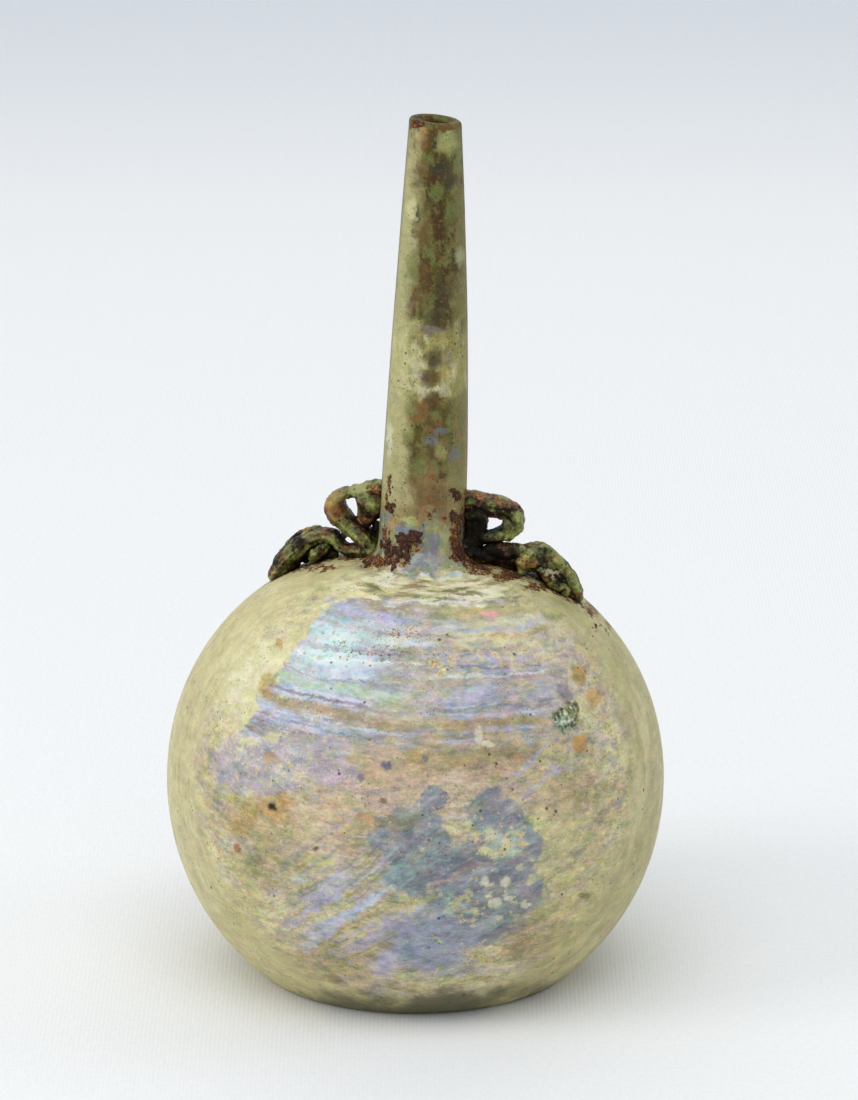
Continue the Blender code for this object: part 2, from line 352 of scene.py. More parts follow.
# Long thin streaks, as the glass was drawn out. They run along the X and Y of the place they are given.
streaks_group, sheet, given, result = new_group(
    "streaks", {"Place": (PLACE, (0, 0, 0)), "Across": (FLOAT, 0.5), "Along": (FLOAT, 0.03),
                "Waviness": (FLOAT, 1.0)}, {"Value": FLOAT, "Fine": FLOAT})
swerve = sheet.minus(sheet.noise(given["Place"], 0.05, 2.0)[0], 0.5)
swerve = sheet.times(swerve, given["Waviness"], 6.0)
x, y, z = sheet.parts(given["Place"])
drawn = sheet.node("ShaderNodeCombineXYZ", {
    0: sheet.times(x, given["Along"]), 1: sheet.times(y, given["Along"]),
    2: sheet.times(sheet.plus(z, swerve), given["Across"])}).outputs[0]
sheet.fill(result, {"Value": sheet.noise(drawn, 1.0, 2.0, 0.5)[0],
                    "Fine": sheet.noise(drawn, 3.1, 3.0, 0.6)[0]})

# Damp brown earth, which clings in clots and thins out at its edges.
earth_group, sheet, given, result = new_group(
    "earth", {"Place": (PLACE, (0, 0, 0)), "Amount": (FLOAT, 0.5)}, {"Mask": FLOAT, "Color": PAINT})
clots = sheet.noise(given["Place"], 0.85, 6.0, 0.70)[0]
grain = sheet.noise(given["Place"], 2.2, 4.0, 0.7)[0]
bar = sheet.minus(0.64, sheet.times(given["Amount"], 0.26))
damp = sheet.mix(sheet.between(grain, 0.42, 0.55), colour(34, 18, 10), colour(112, 58, 26))
sheet.fill(result, {"Mask": sheet.between(sheet.minus(clots, bar), -0.015, 0.025),
                    "Color": sheet.mix(sheet.between(grain, 0.54, 0.64), damp, colour(172, 124, 66))})

# Mottling, coarse and fine at once and a little in hue too, as light breaks up in weathered glass.
mottling_group, sheet, given, result = new_group(
    "mottling", {"Color": (PAINT, (0.5, 0.5, 0.5, 1.0)), "Place": (PLACE, (0, 0, 0)),
                 "Per mm": (FLOAT, 0.4), "Strength": (FLOAT, 0.8)}, {"Color": PAINT})
HUE_SHARE = 0.3
lights, hues = sheet.noise(given["Place"], given["Per mm"], 6.0, 0.80)
tone = sheet.node("ShaderNodeMapRange", {
    6: sheet.mix(HUE_SHARE, lights, hues), 7: (0.36, 0.36, 0.36), 8: (0.64, 0.64, 0.64),
    9: (0.10, 0.10, 0.10), 10: (0.90, 0.90, 0.90)}, data_type="FLOAT_VECTOR").outputs[1]
sheet.fill(result, {"Color": sheet.mix(given["Strength"], given["Color"], tone, "OVERLAY")})

# Stains in three tints, each with its own map, as the crust takes them up.
stain_group, sheet, given, result = new_group(
    "stains", {"Place": (PLACE, (0, 0, 0)), "Per mm": (FLOAT, 0.4), "Edge": (FLOAT, 0.06)},
    {"First": FLOAT, "Second": FLOAT, "Third": FLOAT})
STAIN_LEVEL = 0.51
tints = sheet.noise(given["Place"], given["Per mm"], 6.0, 0.72)[1]
maps = sheet.node("ShaderNodeSeparateColor", {0: tints}).outputs
full = sheet.plus(given["Edge"], STAIN_LEVEL)
for name, stain_map in zip(("First", "Second", "Third"), maps):
    sheet.fill(result, {name: sheet.between(stain_map, STAIN_LEVEL, full)})

skin, sheet, shader = new_material("weathered_glass")
place = sheet.in_millimetres()

# Places on the front are millimetres right of and above the body's middle, as one sees them who looks
# down on the flask by FRONT_TILT.
middle = BODY_CENTRE * MM
lowered = (0.0, middle * sin(FRONT_TILT), -middle * cos(FRONT_TILT))
front = sheet.turned(place, lowered, (FRONT_TILT, 0.0, 0.0))
at_front = sheet.between(sheet.parts(front)[1], -6.0, -14.0)
bent = sheet.vector("ADD", place, sheet.vector("MULTIPLY", sheet.shake(place, 0.12), (6.0, 6.0, 6.0)))


def ragged(reach, fineness, detail=4.0, where=front):
    """The front places, shaken by up to reach millimetres, so that a patch on them gets a torn edge."""
    shaking = {0: sheet.shake(bent, fineness, detail, 0.62), "Scale": reach * 2.0}
    shake = sheet.node("ShaderNodeVectorMath", shaking, operation="SCALE").outputs[0]
    return sheet.vector("ADD", where, shake)


torn = ragged(4.0, 0.30, 6.0)
near_torn = ragged(1.6, 0.30, 6.0)
soft_torn = ragged(9.0, 0.09)


def patch(right, up, wide, high, softness=0.3, where=torn, amount=1.0):
    """A patch on the front of the body."""
    deep = -sqrt(max((BODY_RADIUS * MM) ** 2 - right ** 2 - up ** 2, 0.0))
    return sheet.patch(where, (right, deep, up), (wide, max(wide, high) + 14.0, high), softness, amount)


# The pigments of the skin.
PALE, CREAM, BUFF = colour(230, 228, 196), colour(216, 208, 160), colour(186, 174, 136)
TAN, KHAKI, LEAF = colour(162, 140, 96), colour(176, 168, 114), colour(186, 190, 122)
OCHRE, ROSY, ROSE = colour(184, 142, 72), colour(190, 160, 146), colour(236, 164, 162)
LILAC, MAUVE, LAVENDER = colour(170, 164, 182), colour(132, 122, 138), colour(178, 180, 208)
SKY, ICE, WHITE = colour(192, 210, 224), colour(222, 248, 240), colour(238, 242, 240)
FROST, SILK, SLATE = colour(184, 208, 184), colour(146, 148, 152), colour(128, 138, 156)
DEEP_SLATE, TEAL, OLIVE = colour(94, 98, 124), colour(136, 174, 172), colour(120, 114, 64)
MOSS, RUST, BROWN = colour(112, 124, 64), colour(140, 76, 34), colour(102, 76, 38)
DARK, INK, MAROON = colour(60, 54, 34), colour(18, 13, 8), colour(66, 30, 18)

# The lines of blowing lie level round the flask, a little higher on one side. Stains are drawn out
# along them.
FILM_TILT = radians(-2.4)
tilted = sheet.turned(place, turn=(0.0, FILM_TILT, 0.0))
rows = sheet.turned(place, turn=(0.0, FILM_TILT, 0.0), scale=(0.5, 0.5, 1.0))
coarse_stains = sheet.group(stain_group, {"Place": rows, "Per mm": 0.26, "Edge": 0.06})
fine_stains = sheet.group(stain_group, {"Place": rows, "Per mm": 0.95, "Edge": 0.10})


def stained(under, found, amount, pigments):
    """The paint with three stains over it."""
    for name, pigment in zip(("First", "Second", "Third"), pigments):
        under = sheet.over(under, pigment, found[name], amount)
    return under


def painted(under, marks, softness=0.6, where=torn):
    """The paint with patches over it. By pigment: right, up, wide, high, how much."""
    for pigment, spots in marks.items():
        share = sheet.most(*(patch(*spot, softness, where, amount) for *spot, amount in spots))
        under = sheet.mix(share, under, pigment)
    return under


# Crust: mottled cream, buff and tan, with rosy, leaf green and lilac stains, and fine specks.
broad = sheet.noise(place, 0.055, 3.0, 0.5)[0]
islands = sheet.noise(rows, 0.26, 7.0, 0.68)[0]
flakes = sheet.noise(place, 0.85, 6.0, 0.70)[0]
crumb = sheet.noise(place, 0.50, 6.0, 0.66)[0]
grit = sheet.noise(place, 1.7, 5.0, 0.72)[0]
light_specks = sheet.between(grit, 0.57, 0.66)
dark_specks = sheet.between(grit, 0.42, 0.33)
paint = sheet.mix(sheet.between(broad, 0.38, 0.62), BUFF, CREAM)
paint = sheet.layered(paint, (islands, 0.50, 0.60, 0.6, CREAM), (islands, 0.47, 0.39, 0.6, TAN))
paint = stained(paint, coarse_stains, 0.42, (ROSY, LEAF, LILAC))
paint = stained(paint, fine_stains, 0.30, (PALE, OCHRE, MAUVE))

# Where the front is creamy, tan or rosy as a whole.
paint = painted(paint, {
    CREAM: [(-33, 22, 12, 20, 0.75), (2, 38, 32, 5, 0.5), (27, -9, 8, 8, 0.5)],
    PALE: [(-33, 22, 7, 11, 0.5)],
    TAN: [(8, 8, 28, 5, 0.7), (-5, 5, 14, 5, 0.5), (31, -3, 10, 7, 0.4), (-18, -34, 16, 7, 0.45),
          (26, -31, 12, 7, 0.5)],
    ROSY: [(6, 0, 32, 8, 0.45), (-16, -8, 12, 9, 0.35)],
    OCHRE: [(-30, -5, 10, 4, 0.55)],
    colour(150, 138, 92): [(-29, -15, 13, 10, 0.5)],
    KHAKI: [(32, -20, 13, 20, 0.5)],
}, 0.85, soft_torn)
paint = sheet.over(paint, PALE, light_specks, 0.35)
crust_paint = paint = sheet.over(paint, BROWN, dark_specks, 0.55)

# Lilac and pale blue film on the upper front, in rings left by the blowing. Its colours are partly its
# own and partly a painted reflection, painted only on the front, where the light above reflects in it.
wander = sheet.times(sheet.minus(sheet.noise(place, 0.07, 2.0)[0], 0.5), 4.5)
ring_height = sheet.plus(sheet.parts(tilted)[2], wander)
ring_height = sheet.plus(ring_height, sheet.times(sheet.minus(flakes, 0.5), 2.2))
ring_streaks = sheet.group(streaks_group, {"Place": tilted, "Across": 0.60, "Along": 0.045,
                                           "Waviness": 0.45})
ring_breaks = sheet.noise(sheet.turned(place, (2.0, 5.0, 3.0), scale=(0.13, 0.13, 0.4)), 1.0, 4.0, 0.6)[0]
x, _, z = sheet.parts(torn)
on_left = sheet.between(x, 7.0, -5.0)
on_right = sheet.minus(1.0, on_left)


def ring(height, half_width, amount=1.0):
    away = sheet.maths("ABSOLUTE", sheet.minus(ring_height, height))
    return sheet.between(away, half_width * 0.3, half_width, amount, 0.0)


film_and_sheen_paint = sheet.mix(sheet.between(ring_streaks["Value"], 0.40, 0.60), SILK, LAVENDER)
film_and_sheen_paint = sheet.layered(film_and_sheen_paint, (ring_streaks["Fine"], 0.53, 0.62, 0.75, TAN),
                           (ring_streaks["Fine"], 0.47, 0.38, 0.6, SKY))
film_and_sheen_paint = stained(film_and_sheen_paint, coarse_stains, 0.38, (KHAKI, LAVENDER, ROSY))
# Painted highlight: the pale blue and cyan-white patches on the left, where the light glints on the film.
film_and_sheen_paint = painted(film_and_sheen_paint, {
    SKY: [(-14, 27, 17, 7, 0.8), (-20, 19, 14, 5, 0.6)],
    ICE: [(-17, 25, 11, 5, 0.7)],
    LILAC: [(16, 17, 14, 5, 0.5)],
    colour(162, 160, 140): [(2, 21, 12, 7, 0.85)],
    KHAKI: [(-4, 14, 8, 4, 0.5)],
    CREAM: [(18, 31, 18, 4, 0.8)],
}, 0.9, soft_torn)
broken = sheet.between(ring_breaks, 0.34, 0.50, 0.45, 1.0)

# The rings by pigment: height over the base, half width in millimetres and how much.
LEFT_RINGS = {
    MAUVE: [(82.6, 0.6, 0.7), (70.0, 0.2, 0.6), (66.3, 0.45, 0.85), (59.8, 0.3, 0.6)],
    TAN: [(81.4, 0.5, 0.8), (64.4, 1.3, 0.85)],
    LAVENDER: [(79.9, 0.7, 0.9), (71.6, 0.8, 0.5)],
    SKY: [(78.6, 0.8, 0.7), (62.5, 0.35, 0.6)],
    ICE: [(76.8, 1.2, 0.5)],
    LILAC: [(74.6, 0.5, 0.7)],
    WHITE: [(73.0, 0.3, 0.6)],
    FROST: [(68.5, 1.2, 0.75)],
    SLATE: [(61.2, 0.3, 0.7)],
}
RIGHT_RINGS = {
    MAUVE: [(82.6, 0.6, 0.7), (72.6, 0.3, 0.8)],
    KHAKI: [(81.0, 1.8, 0.85)],
    LAVENDER: [(78.6, 0.5, 0.7), (74.0, 0.5, 0.7), (68.4, 1.2, 0.7)],
    TAN: [(77.5, 0.45, 0.75), (75.4, 0.5, 0.65), (63.8, 1.4, 0.85)],
    WHITE: [(71.2, 0.3, 0.45)],
    ROSY: [(70.3, 0.4, 0.6)],
    SLATE: [(66.4, 0.35, 0.7)],
    OLIVE: [(61.8, 0.5, 0.5)],
}
for side, rings in ((sheet.times(broken, on_left), LEFT_RINGS),
                    (sheet.times(broken, on_right), RIGHT_RINGS)):
    for pigment, lines in rings.items():
        share = sheet.most(*(ring(*line) for line in lines))
        film_and_sheen_paint = sheet.over(film_and_sheen_paint, pigment, share, side)

# The film starts at a slanting edge on the left, and tan and cream stains break it up on the right.
left_side = sheet.plus(x, sheet.times(sheet.minus(36.0, z), 0.68))
film = sheet.times(sheet.between(left_side, -17.3, -16.6), sheet.between(x, 34.0, 20.0),
                   sheet.between(z, 5.0, 12.0), sheet.between(z, 37.0, 35.0), at_front)
to_right = sheet.between(x, -12.0, 6.0)
stain_cover = sheet.times(sheet.between(islands, 0.49, 0.57), to_right, 0.7)
worn = sheet.times(sheet.between(flakes, 0.64, 0.56), sheet.minus(1.0, stain_cover))
film_cover = sheet.times(film, sheet.plus(sheet.times(worn, 0.82), 0.14))
paint = sheet.mix(film_cover, paint, film_and_sheen_paint)
yellow_rows = sheet.times(film, sheet.most(patch(18, 27, 12, 4.5, 0.7, soft_torn),
                                           patch(6, 24, 7, 5, 0.7, soft_torn)))
paint = sheet.over(paint, CREAM, yellow_rows, sheet.between(crumb, 0.50, 0.57), 0.8)
paint = sheet.over(paint, OCHRE, yellow_rows, sheet.between(crumb, 0.57, 0.63), 0.8)
film_edge = sheet.times(sheet.between(left_side, -22.0, -18.6), sheet.between(left_side, -16.6, -17.3),
                        sheet.between(z, 12.0, 18.0), sheet.between(z, 38.0, 36.0), at_front)
paint = sheet.over(paint, CREAM, film_edge, 0.65)

# Rows of golden and dark specks in the film, where it is pitted through.
speck_rows = sheet.times(film, sheet.most(
    sheet.times(ring(78.2, 1.8), patch(-4, 29.5, 8, 4, 0.7, soft_torn)),
    sheet.times(ring(75.0, 2.0), patch(-7, 25.5, 12, 4, 0.7, soft_torn)), patch(4.2, 25, 3.4, 2.6, 0.7)))
paint = sheet.over(paint, OCHRE, speck_rows, sheet.between(grit, 0.51, 0.57), 0.8)
paint = sheet.over(paint, BROWN, speck_rows, sheet.between(grit, 0.57, 0.62), 0.9)

# Left of and under the film, grey lilac patches, and below them streaks drawn along a slant.
SLANT = radians(35.0)
slant_front = sheet.turned(front, turn=(0.0, SLANT, 0.0))
slant_torn = ragged(4.0, 0.30, 6.0, slant_front)
slant_streaks = sheet.group(streaks_group, {"Place": slant_front, "Across": 0.42, "Along": 0.035,
                                            "Waviness": 0.6})


def drawn(under, marks, softness=0.8):
    """The paint with patches along the slant. By pigment: right, up, length, thickness, how much."""
    for pigment, spots in marks.items():
        share = 0.0
        for right, up, length, thick, amount in spots:
            deep = -sqrt((BODY_RADIUS * MM) ** 2 - right ** 2 - up ** 2)
            centre = Matrix.Rotation(SLANT, 3, "Y") @ Vector((right, deep, up))
            spot = sheet.patch(slant_torn, centre, (length, 14.0, thick), softness, amount)
            share = sheet.most(share, spot)
        under = sheet.mix(share, under, pigment)
    return under


lilac_bits = sheet.most(*(patch(*spot) for spot in (
    (-35.5, 4, 6, 5, 0.25), (-27, 5, 9, 5.5, 0.4), (-19, 7, 9, 3.5, 0.5), (-30, 0, 10, 2.2, 0.4),
    (-16, 3, 7, 2.5, 0.5))))
lilac_bits = sheet.times(lilac_bits, sheet.between(flakes, 0.62, 0.52), at_front)
paint = sheet.over(paint, LILAC, lilac_bits, 0.65)
paint = sheet.over(paint, WHITE, lilac_bits, light_specks, 0.6)
low_front = sheet.times(patch(-8, -22, 26, 17, 0.6, soft_torn), at_front)
paint = sheet.over(paint, SILK, low_front, sheet.between(slant_streaks["Value"], 0.52, 0.60), 0.6)
paint = sheet.over(paint, LAVENDER, low_front, sheet.between(slant_streaks["Fine"], 0.55, 0.62), 0.55)
paint = sheet.over(paint, OLIVE, low_front, sheet.between(slant_streaks["Fine"], 0.45, 0.37), 0.35)
paint = drawn(paint, {
    colour(188, 190, 208): [(-16.5, -19.5, 6.5, 2.6, 0.6), (-17, -28.5, 12, 2.0, 0.75)],
    TEAL: [(-5, -19, 9, 0.9, 0.5)],
    TAN: [(-20, -32.5, 8, 0.9, 0.4), (-12, -20.5, 8, 0.7, 0.35), (-12, -27, 8, 1.0, 0.35),
          (29, 4, 9, 1.2, 0.4)],
    SKY: [(-9, -22.5, 8, 1.2, 0.8)],
    LAVENDER: [(-13, -24.5, 10, 1.2, 0.6), (-20, -24, 9, 1.2, 0.6), (-4, -34, 8, 3.0, 0.6),
               (23, 5.5, 7, 0.6, 0.7), (25, 1.5, 9, 0.6, 0.6)],
    LILAC: [(-8, -29, 10, 1.6, 0.6)],
    SILK: [(15, -1, 8, 0.6, 0.5)],
    OCHRE: [(19, 4.5, 8, 0.8, 0.35)],
})

# Where the crust flaked off: slate blue glass with slanting streaks and crumbs of crust left on it.
notch = patch(8.6, -4.5, 1.9, 4.4, 0.3)
bared = sheet.most(*(patch(*spot) for spot in (
    (-0.5, -9.5, 8.6, 7.5, 0.24), (3.6, -2.0, 3.4, 2.6, 0.16), (15.5, -5, 5.6, 5.0, 0.2),
    (18.5, -12, 6.6, 7, 0.2), (20, -20.5, 6.2, 6.5, 0.3), (11, -17, 10, 7, 0.16), (12, -25, 11, 8, 0.40),
    (3, -31, 10, 9, 0.6), (0, -17, 8, 5, 0.4))))
bared = sheet.minus(bared, notch, clamp=True)
crumby = sheet.times(sheet.most(patch(18, -10.5, 6, 4, 0.8, soft_torn),
                                patch(9, -21, 7, 5, 0.8, soft_torn)), 0.12)
left_on = sheet.between(crumb, sheet.minus(0.66, crumby), sheet.minus(0.60, crumby))
bared = sheet.times(bared, left_on, at_front)
bared_paint = sheet.mix(sheet.between(slant_streaks["Value"], 0.42, 0.58), colour(108, 114, 134),
                        colour(136, 146, 162))
bared_paint = sheet.layered(bared_paint, (slant_streaks["Fine"], 0.54, 0.62, 0.6, TEAL),
                            (slant_streaks["Fine"], 0.45, 0.38, 0.6, MAUVE))
bared_paint = stained(bared_paint, coarse_stains, 0.34, (SILK, DEEP_SLATE, KHAKI))
bared_paint = stained(bared_paint, fine_stains, 0.25, (TEAL, LAVENDER, OLIVE))
bared_paint = painted(bared_paint, {
    OLIVE: [(-4, -5.5, 6, 3.4, 0.65)],
    DEEP_SLATE: [(-7, -14, 3, 1.6, 0.8)],
    FROST: [(18, -10.5, 4.5, 3.4, 0.65), (6.5, -21.5, 3.2, 4.2, 0.8)],
    MAUVE: [(15, -2.5, 5, 2.6, 0.4), (20, -21, 6, 5, 0.4)],
    colour(150, 158, 190): [(5, -31, 12, 9, 0.6)],
}, 0.8, soft_torn)
bared_paint = drawn(bared_paint, {
    TEAL: [(1, -12.5, 10, 1.0, 0.5), (8, -11.5, 9, 0.6, 0.45), (-1, -16, 9, 1.0, 0.5)],
    RUST: [(12, -14.5, 9, 0.5, 0.35)],
    OLIVE: [(4, -10, 9, 0.8, 0.6)],
    DEEP_SLATE: [(15, -18, 9, 1.4, 0.6), (7, -16, 10, 1.0, 0.5)],
    ROSY: [(3, -20.5, 9, 0.8, 0.6)],
})
paint = sheet.over(paint, bared_paint, bared, 0.85)
paint = painted(paint, {
    CREAM: [(14.5, -8.5, 0.9, 0.9, 0.8), (13.6, -12.0, 1.3, 1.3, 0.8), (23, -18.2, 1.6, 1.2, 0.7),
            (12, -10.0, 0.8, 0.8, 0.7), (20.5, -15.5, 1.0, 1.0, 0.6), (10.5, -20.5, 1.3, 1.0, 0.6),
            (16.2, -25.8, 1.2, 0.9, 0.6)],
    PALE: [(17.6, -18.6, 1.4, 1.2, 0.7), (13.4, -18.4, 1.4, 1.3, 0.7), (15.4, -22.8, 1.9, 1.5, 0.7),
           (18.0, -21.5, 1.2, 1.0, 0.7), (21.5, -23.0, 1.4, 1.0, 0.6)],
}, 0.9, near_torn)

# Marks of their own: ochre, cream and rust stains, dark and blue dots, a green smudge.
paint = painted(paint, {
    OCHRE: [(-29.0, 19.5, 2.0, 3.0, 0.55), (-26.8, 27.3, 1.0, 1.0, 0.7), (32.0, 21.4, 2.2, 2.4, 0.75),
            (35.0, 17.2, 1.9, 2.4, 0.65), (32.2, 8.2, 2.2, 2.1, 0.8), (-28.5, 5.5, 1.3, 1.7, 0.6),
            (-26, -4.5, 4.0, 3.4, 0.3), (-9.6, -6, 2.4, 1.4, 0.5)],
    CREAM: [(-32.0, 8.5, 2.6, 1.2, 0.7), (-27.5, 9.5, 2.0, 1.6, 0.7), (30.2, 21.5, 0.5, 5.0, 0.5)],
    PALE: [(12.4, 10.0, 0.9, 2.0, 0.5), (14.4, 8.4, 2.0, 0.8, 0.5)],
    OLIVE: [(33.3, -22.0, 1.8, 0.8, 0.7)],
    RUST: [(-35.0, -12.5, 1.0, 1.2, 0.7)],
    LEAF: [(-18.4, -14.5, 3.2, 1.0, 0.6)],
    BROWN: [(-16.5, -38.5, 3, 1.2, 0.5)],
}, 0.5, near_torn)
paint = painted(paint, {
    DEEP_SLATE: [(-5.6, 4.5, 1.4, 1.2, 0.9), (-10.4, 2.0, 1.0, 0.8, 0.8), (2.0, 5.6, 0.8, 0.8, 0.6)],
    INK: [(-28.0, -4.0, 1.3, 1.3, 0.95)],
    MAROON: [(-19.4, -12.2, 0.8, 0.8, 0.8), (-6.0, -2.5, 1.0, 0.8, 0.6)],
}, 0.8, near_torn)

# A scar on the right, where a bubble burst: dark green glass round a pale frosted floor, under a dull
# hump.
scar = patch(29.5, 13.5, 3.0, 3.4, 0.4)
paint = sheet.over(paint, MAUVE, patch(29.2, 18.0, 2.2, 2.2, 0.8), 0.7)
paint = sheet.over(paint, sheet.mix(sheet.between(flakes, 0.42, 0.55), DARK, MOSS), scar, 0.9)
paint = sheet.over(paint, FROST, patch(29.3, 13.0, 2.3, 2.6, 0.4), sheet.between(flakes, 0.44, 0.54), 0.6)
paint = sheet.over(paint, PALE, scar, sheet.between(flakes, 0.56, 0.62), 0.9)

# What only the body has ends here. The neck's copy of the skin leaves it out at this mix.
paint = sheet.mix(1.0, crust_paint, paint, name="body_marks")

# Pale and khaki streaks on the top of the shoulder.
crest = sheet.times(patch(4, 38.8, 34, 4.4, 0.5), at_front)
paint = sheet.over(paint, PALE, crest, sheet.between(ring_streaks["Fine"], 0.50, 0.57), 0.85)
paint = sheet.over(paint, OLIVE, crest, sheet.between(ring_streaks["Fine"], 0.47, 0.40), 0.75)
paint = painted(paint, {
    CREAM: [(-15, 37.2, 14, 1.0, 0.7)],
    PALE: [(10, 36.8, 9, 0.5, 0.7)],
    WHITE: [(4, 35.6, 12, 0.4, 0.5)],
    KHAKI: [(14, 34.0, 13, 1.3, 0.7), (-20, 41, 9, 2.0, 0.5)],
    MOSS: [(28, 33.8, 4.5, 2.4, 0.8), (14, 41.2, 2.4, 0.8, 0.6)],
    LEAF: [(28, 34.0, 3.2, 1.6, 0.8), (-22, 38.5, 10, 1.2, 0.6)],
    OLIVE: [(10, 37.2, 5, 0.5, 0.8)],
    LILAC: [(-2, 42.0, 8, 1.2, 0.6)],
    SKY: [(4.0, 41.0, 8, 0.8, 0.7)],
    BROWN: [(17, 41.5, 5, 1.0, 0.6)],
    TAN: [(24, 39.2, 6, 0.9, 0.5)],
    ROSE: [(14.8, 33.4, 2.6, 0.9, 0.85)],
}, 0.6, near_torn)

# The sides: a smooth khaki band with paler streaks that follow the edge, a painted sheen for the crust
# seen edge-on, painted lighter on the left, where the light falls.
flat_place = sheet.node("ShaderNodeCombineXYZ", {0: x, 2: z}).outputs[0]
from_middle = sheet.node("ShaderNodeVectorMath", {0: flat_place}, operation="LENGTH").outputs["Value"]
rim_band = sheet.between(from_middle, 40.0, 45.0)
edge_on = sheet.turned(front, turn=(pi / 2, 0.0, 0.0))
side_streaks = sheet.group(streaks_group, {"Place": edge_on, "Across": 0.16, "Along": 0.04, "Waviness": 0.3})
side_sheen_paint = sheet.mix(sheet.between(sheet.parts(front)[0], 30.0, -35.0), KHAKI, colour(204, 194, 140))
side_sheen_paint = sheet.layered(side_sheen_paint, (side_streaks["Value"], 0.50, 0.60, 0.6, CREAM),
                           (side_streaks["Fine"], 0.52, 0.62, 0.6, BUFF),
                           (side_streaks["Fine"], 0.46, 0.38, 0.25, OLIVE))
side_sheen_paint = stained(side_sheen_paint, coarse_stains, 0.2, (LEAF, CREAM, TAN))
paint = sheet.over(paint, side_sheen_paint, rim_band, 0.85)
# Painted shade: a dark olive band along the bottom of the body, where it nears the floor.
paint = painted(paint, {
    colour(84, 82, 62): [(4, -46, 44, 6.5, 0.85)],
    KHAKI: [(-34, -27, 8, 9, 0.4)],
}, 0.9, soft_torn)
pits = sheet.group(pits_group, {"Place": place, "Per mm": 0.62, "Size": 0.30, "Clustering": 0.9})["Mask"]
elsewhere = sheet.turned(place, (7.0, 3.0, 5.0))
fine_pits = sheet.group(pits_group, {"Place": elsewhere, "Per mm": 1.6, "Size": 0.34,
                                     "Clustering": 0.75})["Mask"]
paint = sheet.over(paint, DARK, pits, 0.8)
paint = sheet.over(paint, BROWN, fine_pits, 0.65)

# The neck: thin, stained olive and brown, blue and brown at its foot, with dirt in its mouth. Down its
# left side it is painted pale and down its right side lighter green, painted highlights where light shows
# through the edges of the glass. Places on it are millimetres right of the body's axis and over the base.
x, y, z = sheet.parts(place)
neck_rise = sheet.minus(z, shoulder_top * MM)
neck_right = sheet.minus(x, sheet.plus(sheet.times(neck_rise, 0.0315), 1.2))
shake = sheet.shake(bent, 0.30, 6.0, 0.62)
shaken_right = sheet.plus(neck_right, sheet.times(sheet.parts(shake)[0], 9.0))
shaken_height = sheet.plus(z, sheet.times(sheet.parts(shake)[2], 16.0))
neck_torn = sheet.vector("ADD", place, sheet.vector("MULTIPLY", shake, (4.0, 4.0, 5.0)))


def neck_patch(right, height, wide, high, amount=1.0, softness=0.8):
    """A patch on the front of the neck."""
    deep = -neck_radius(height / MM) * MM
    return sheet.patch(neck_torn, (right, deep, height), (wide, 9.0, high), softness, amount)


def neck_painted(under, marks):
    """The neck's paint with patches over it. By pigment: right, height, wide, high, how much."""
    for pigment, spots in marks.items():
        under = sheet.mix(sheet.most(*(neck_patch(*spot) for spot in spots)), under, pigment)
    return under


drips = sheet.noise(sheet.turned(place, scale=(0.9, 0.9, 0.2)), 0.50, 6.0, 0.66)[0]
drawn_out = sheet.turned(place, (5.0, 2.0, 8.0), scale=(1.0, 1.0, 0.6))
neck_stains = sheet.group(stain_group, {"Place": drawn_out, "Per mm": 0.34, "Edge": 0.07})
SHADE_OLIVE, SHADE_BROWN, NECK_KHAKI = colour(84, 76, 24), colour(70, 46, 12), colour(144, 134, 70)
NECK_BLUE = colour(112, 126, 142)
upper_paint = sheet.mix(sheet.between(drips, 0.44, 0.58), SHADE_BROWN, SHADE_OLIVE)
upper_paint = stained(upper_paint, neck_stains, 0.6, (MOSS, BROWN, OLIVE))
bright_paint = sheet.mix(sheet.between(drips, 0.42, 0.60), NECK_KHAKI, colour(176, 166, 104))
bright_paint = stained(bright_paint, neck_stains, 0.4, (MOSS, TAN, PALE))
lower_paint = sheet.mix(sheet.between(drips, 0.44, 0.58), SHADE_OLIVE, OLIVE)
lower_paint = stained(lower_paint, neck_stains, 0.65, (MOSS, RUST, SHADE_BROWN))
lower_paint = sheet.over(lower_paint, TAN, sheet.between(shaken_height, 108.0, 99.0), 0.6)
lower_paint = sheet.over(lower_paint, BROWN, sheet.between(drips, 0.50, 0.58), 0.5)
neck_paint = sheet.mix(sheet.between(shaken_height, 137.0, 130.0), upper_paint, bright_paint)
neck_paint = sheet.layered(neck_paint, (shaken_height, 122.0, 117.0, 1.0, lower_paint))
# Painted highlights down the neck's left and right sides.
left_highlight = sheet.times(sheet.between(shaken_right, -1.6, -5.4), sheet.between(z, 93.0, 101.0))
neck_paint = sheet.over(neck_paint, colour(188, 184, 132), left_highlight, 0.75)
right_highlight = sheet.times(sheet.between(shaken_right, 3.0, 6.5), sheet.between(z, 93.0, 101.0))
neck_paint = sheet.over(neck_paint, colour(134, 132, 76), right_highlight, 0.5)
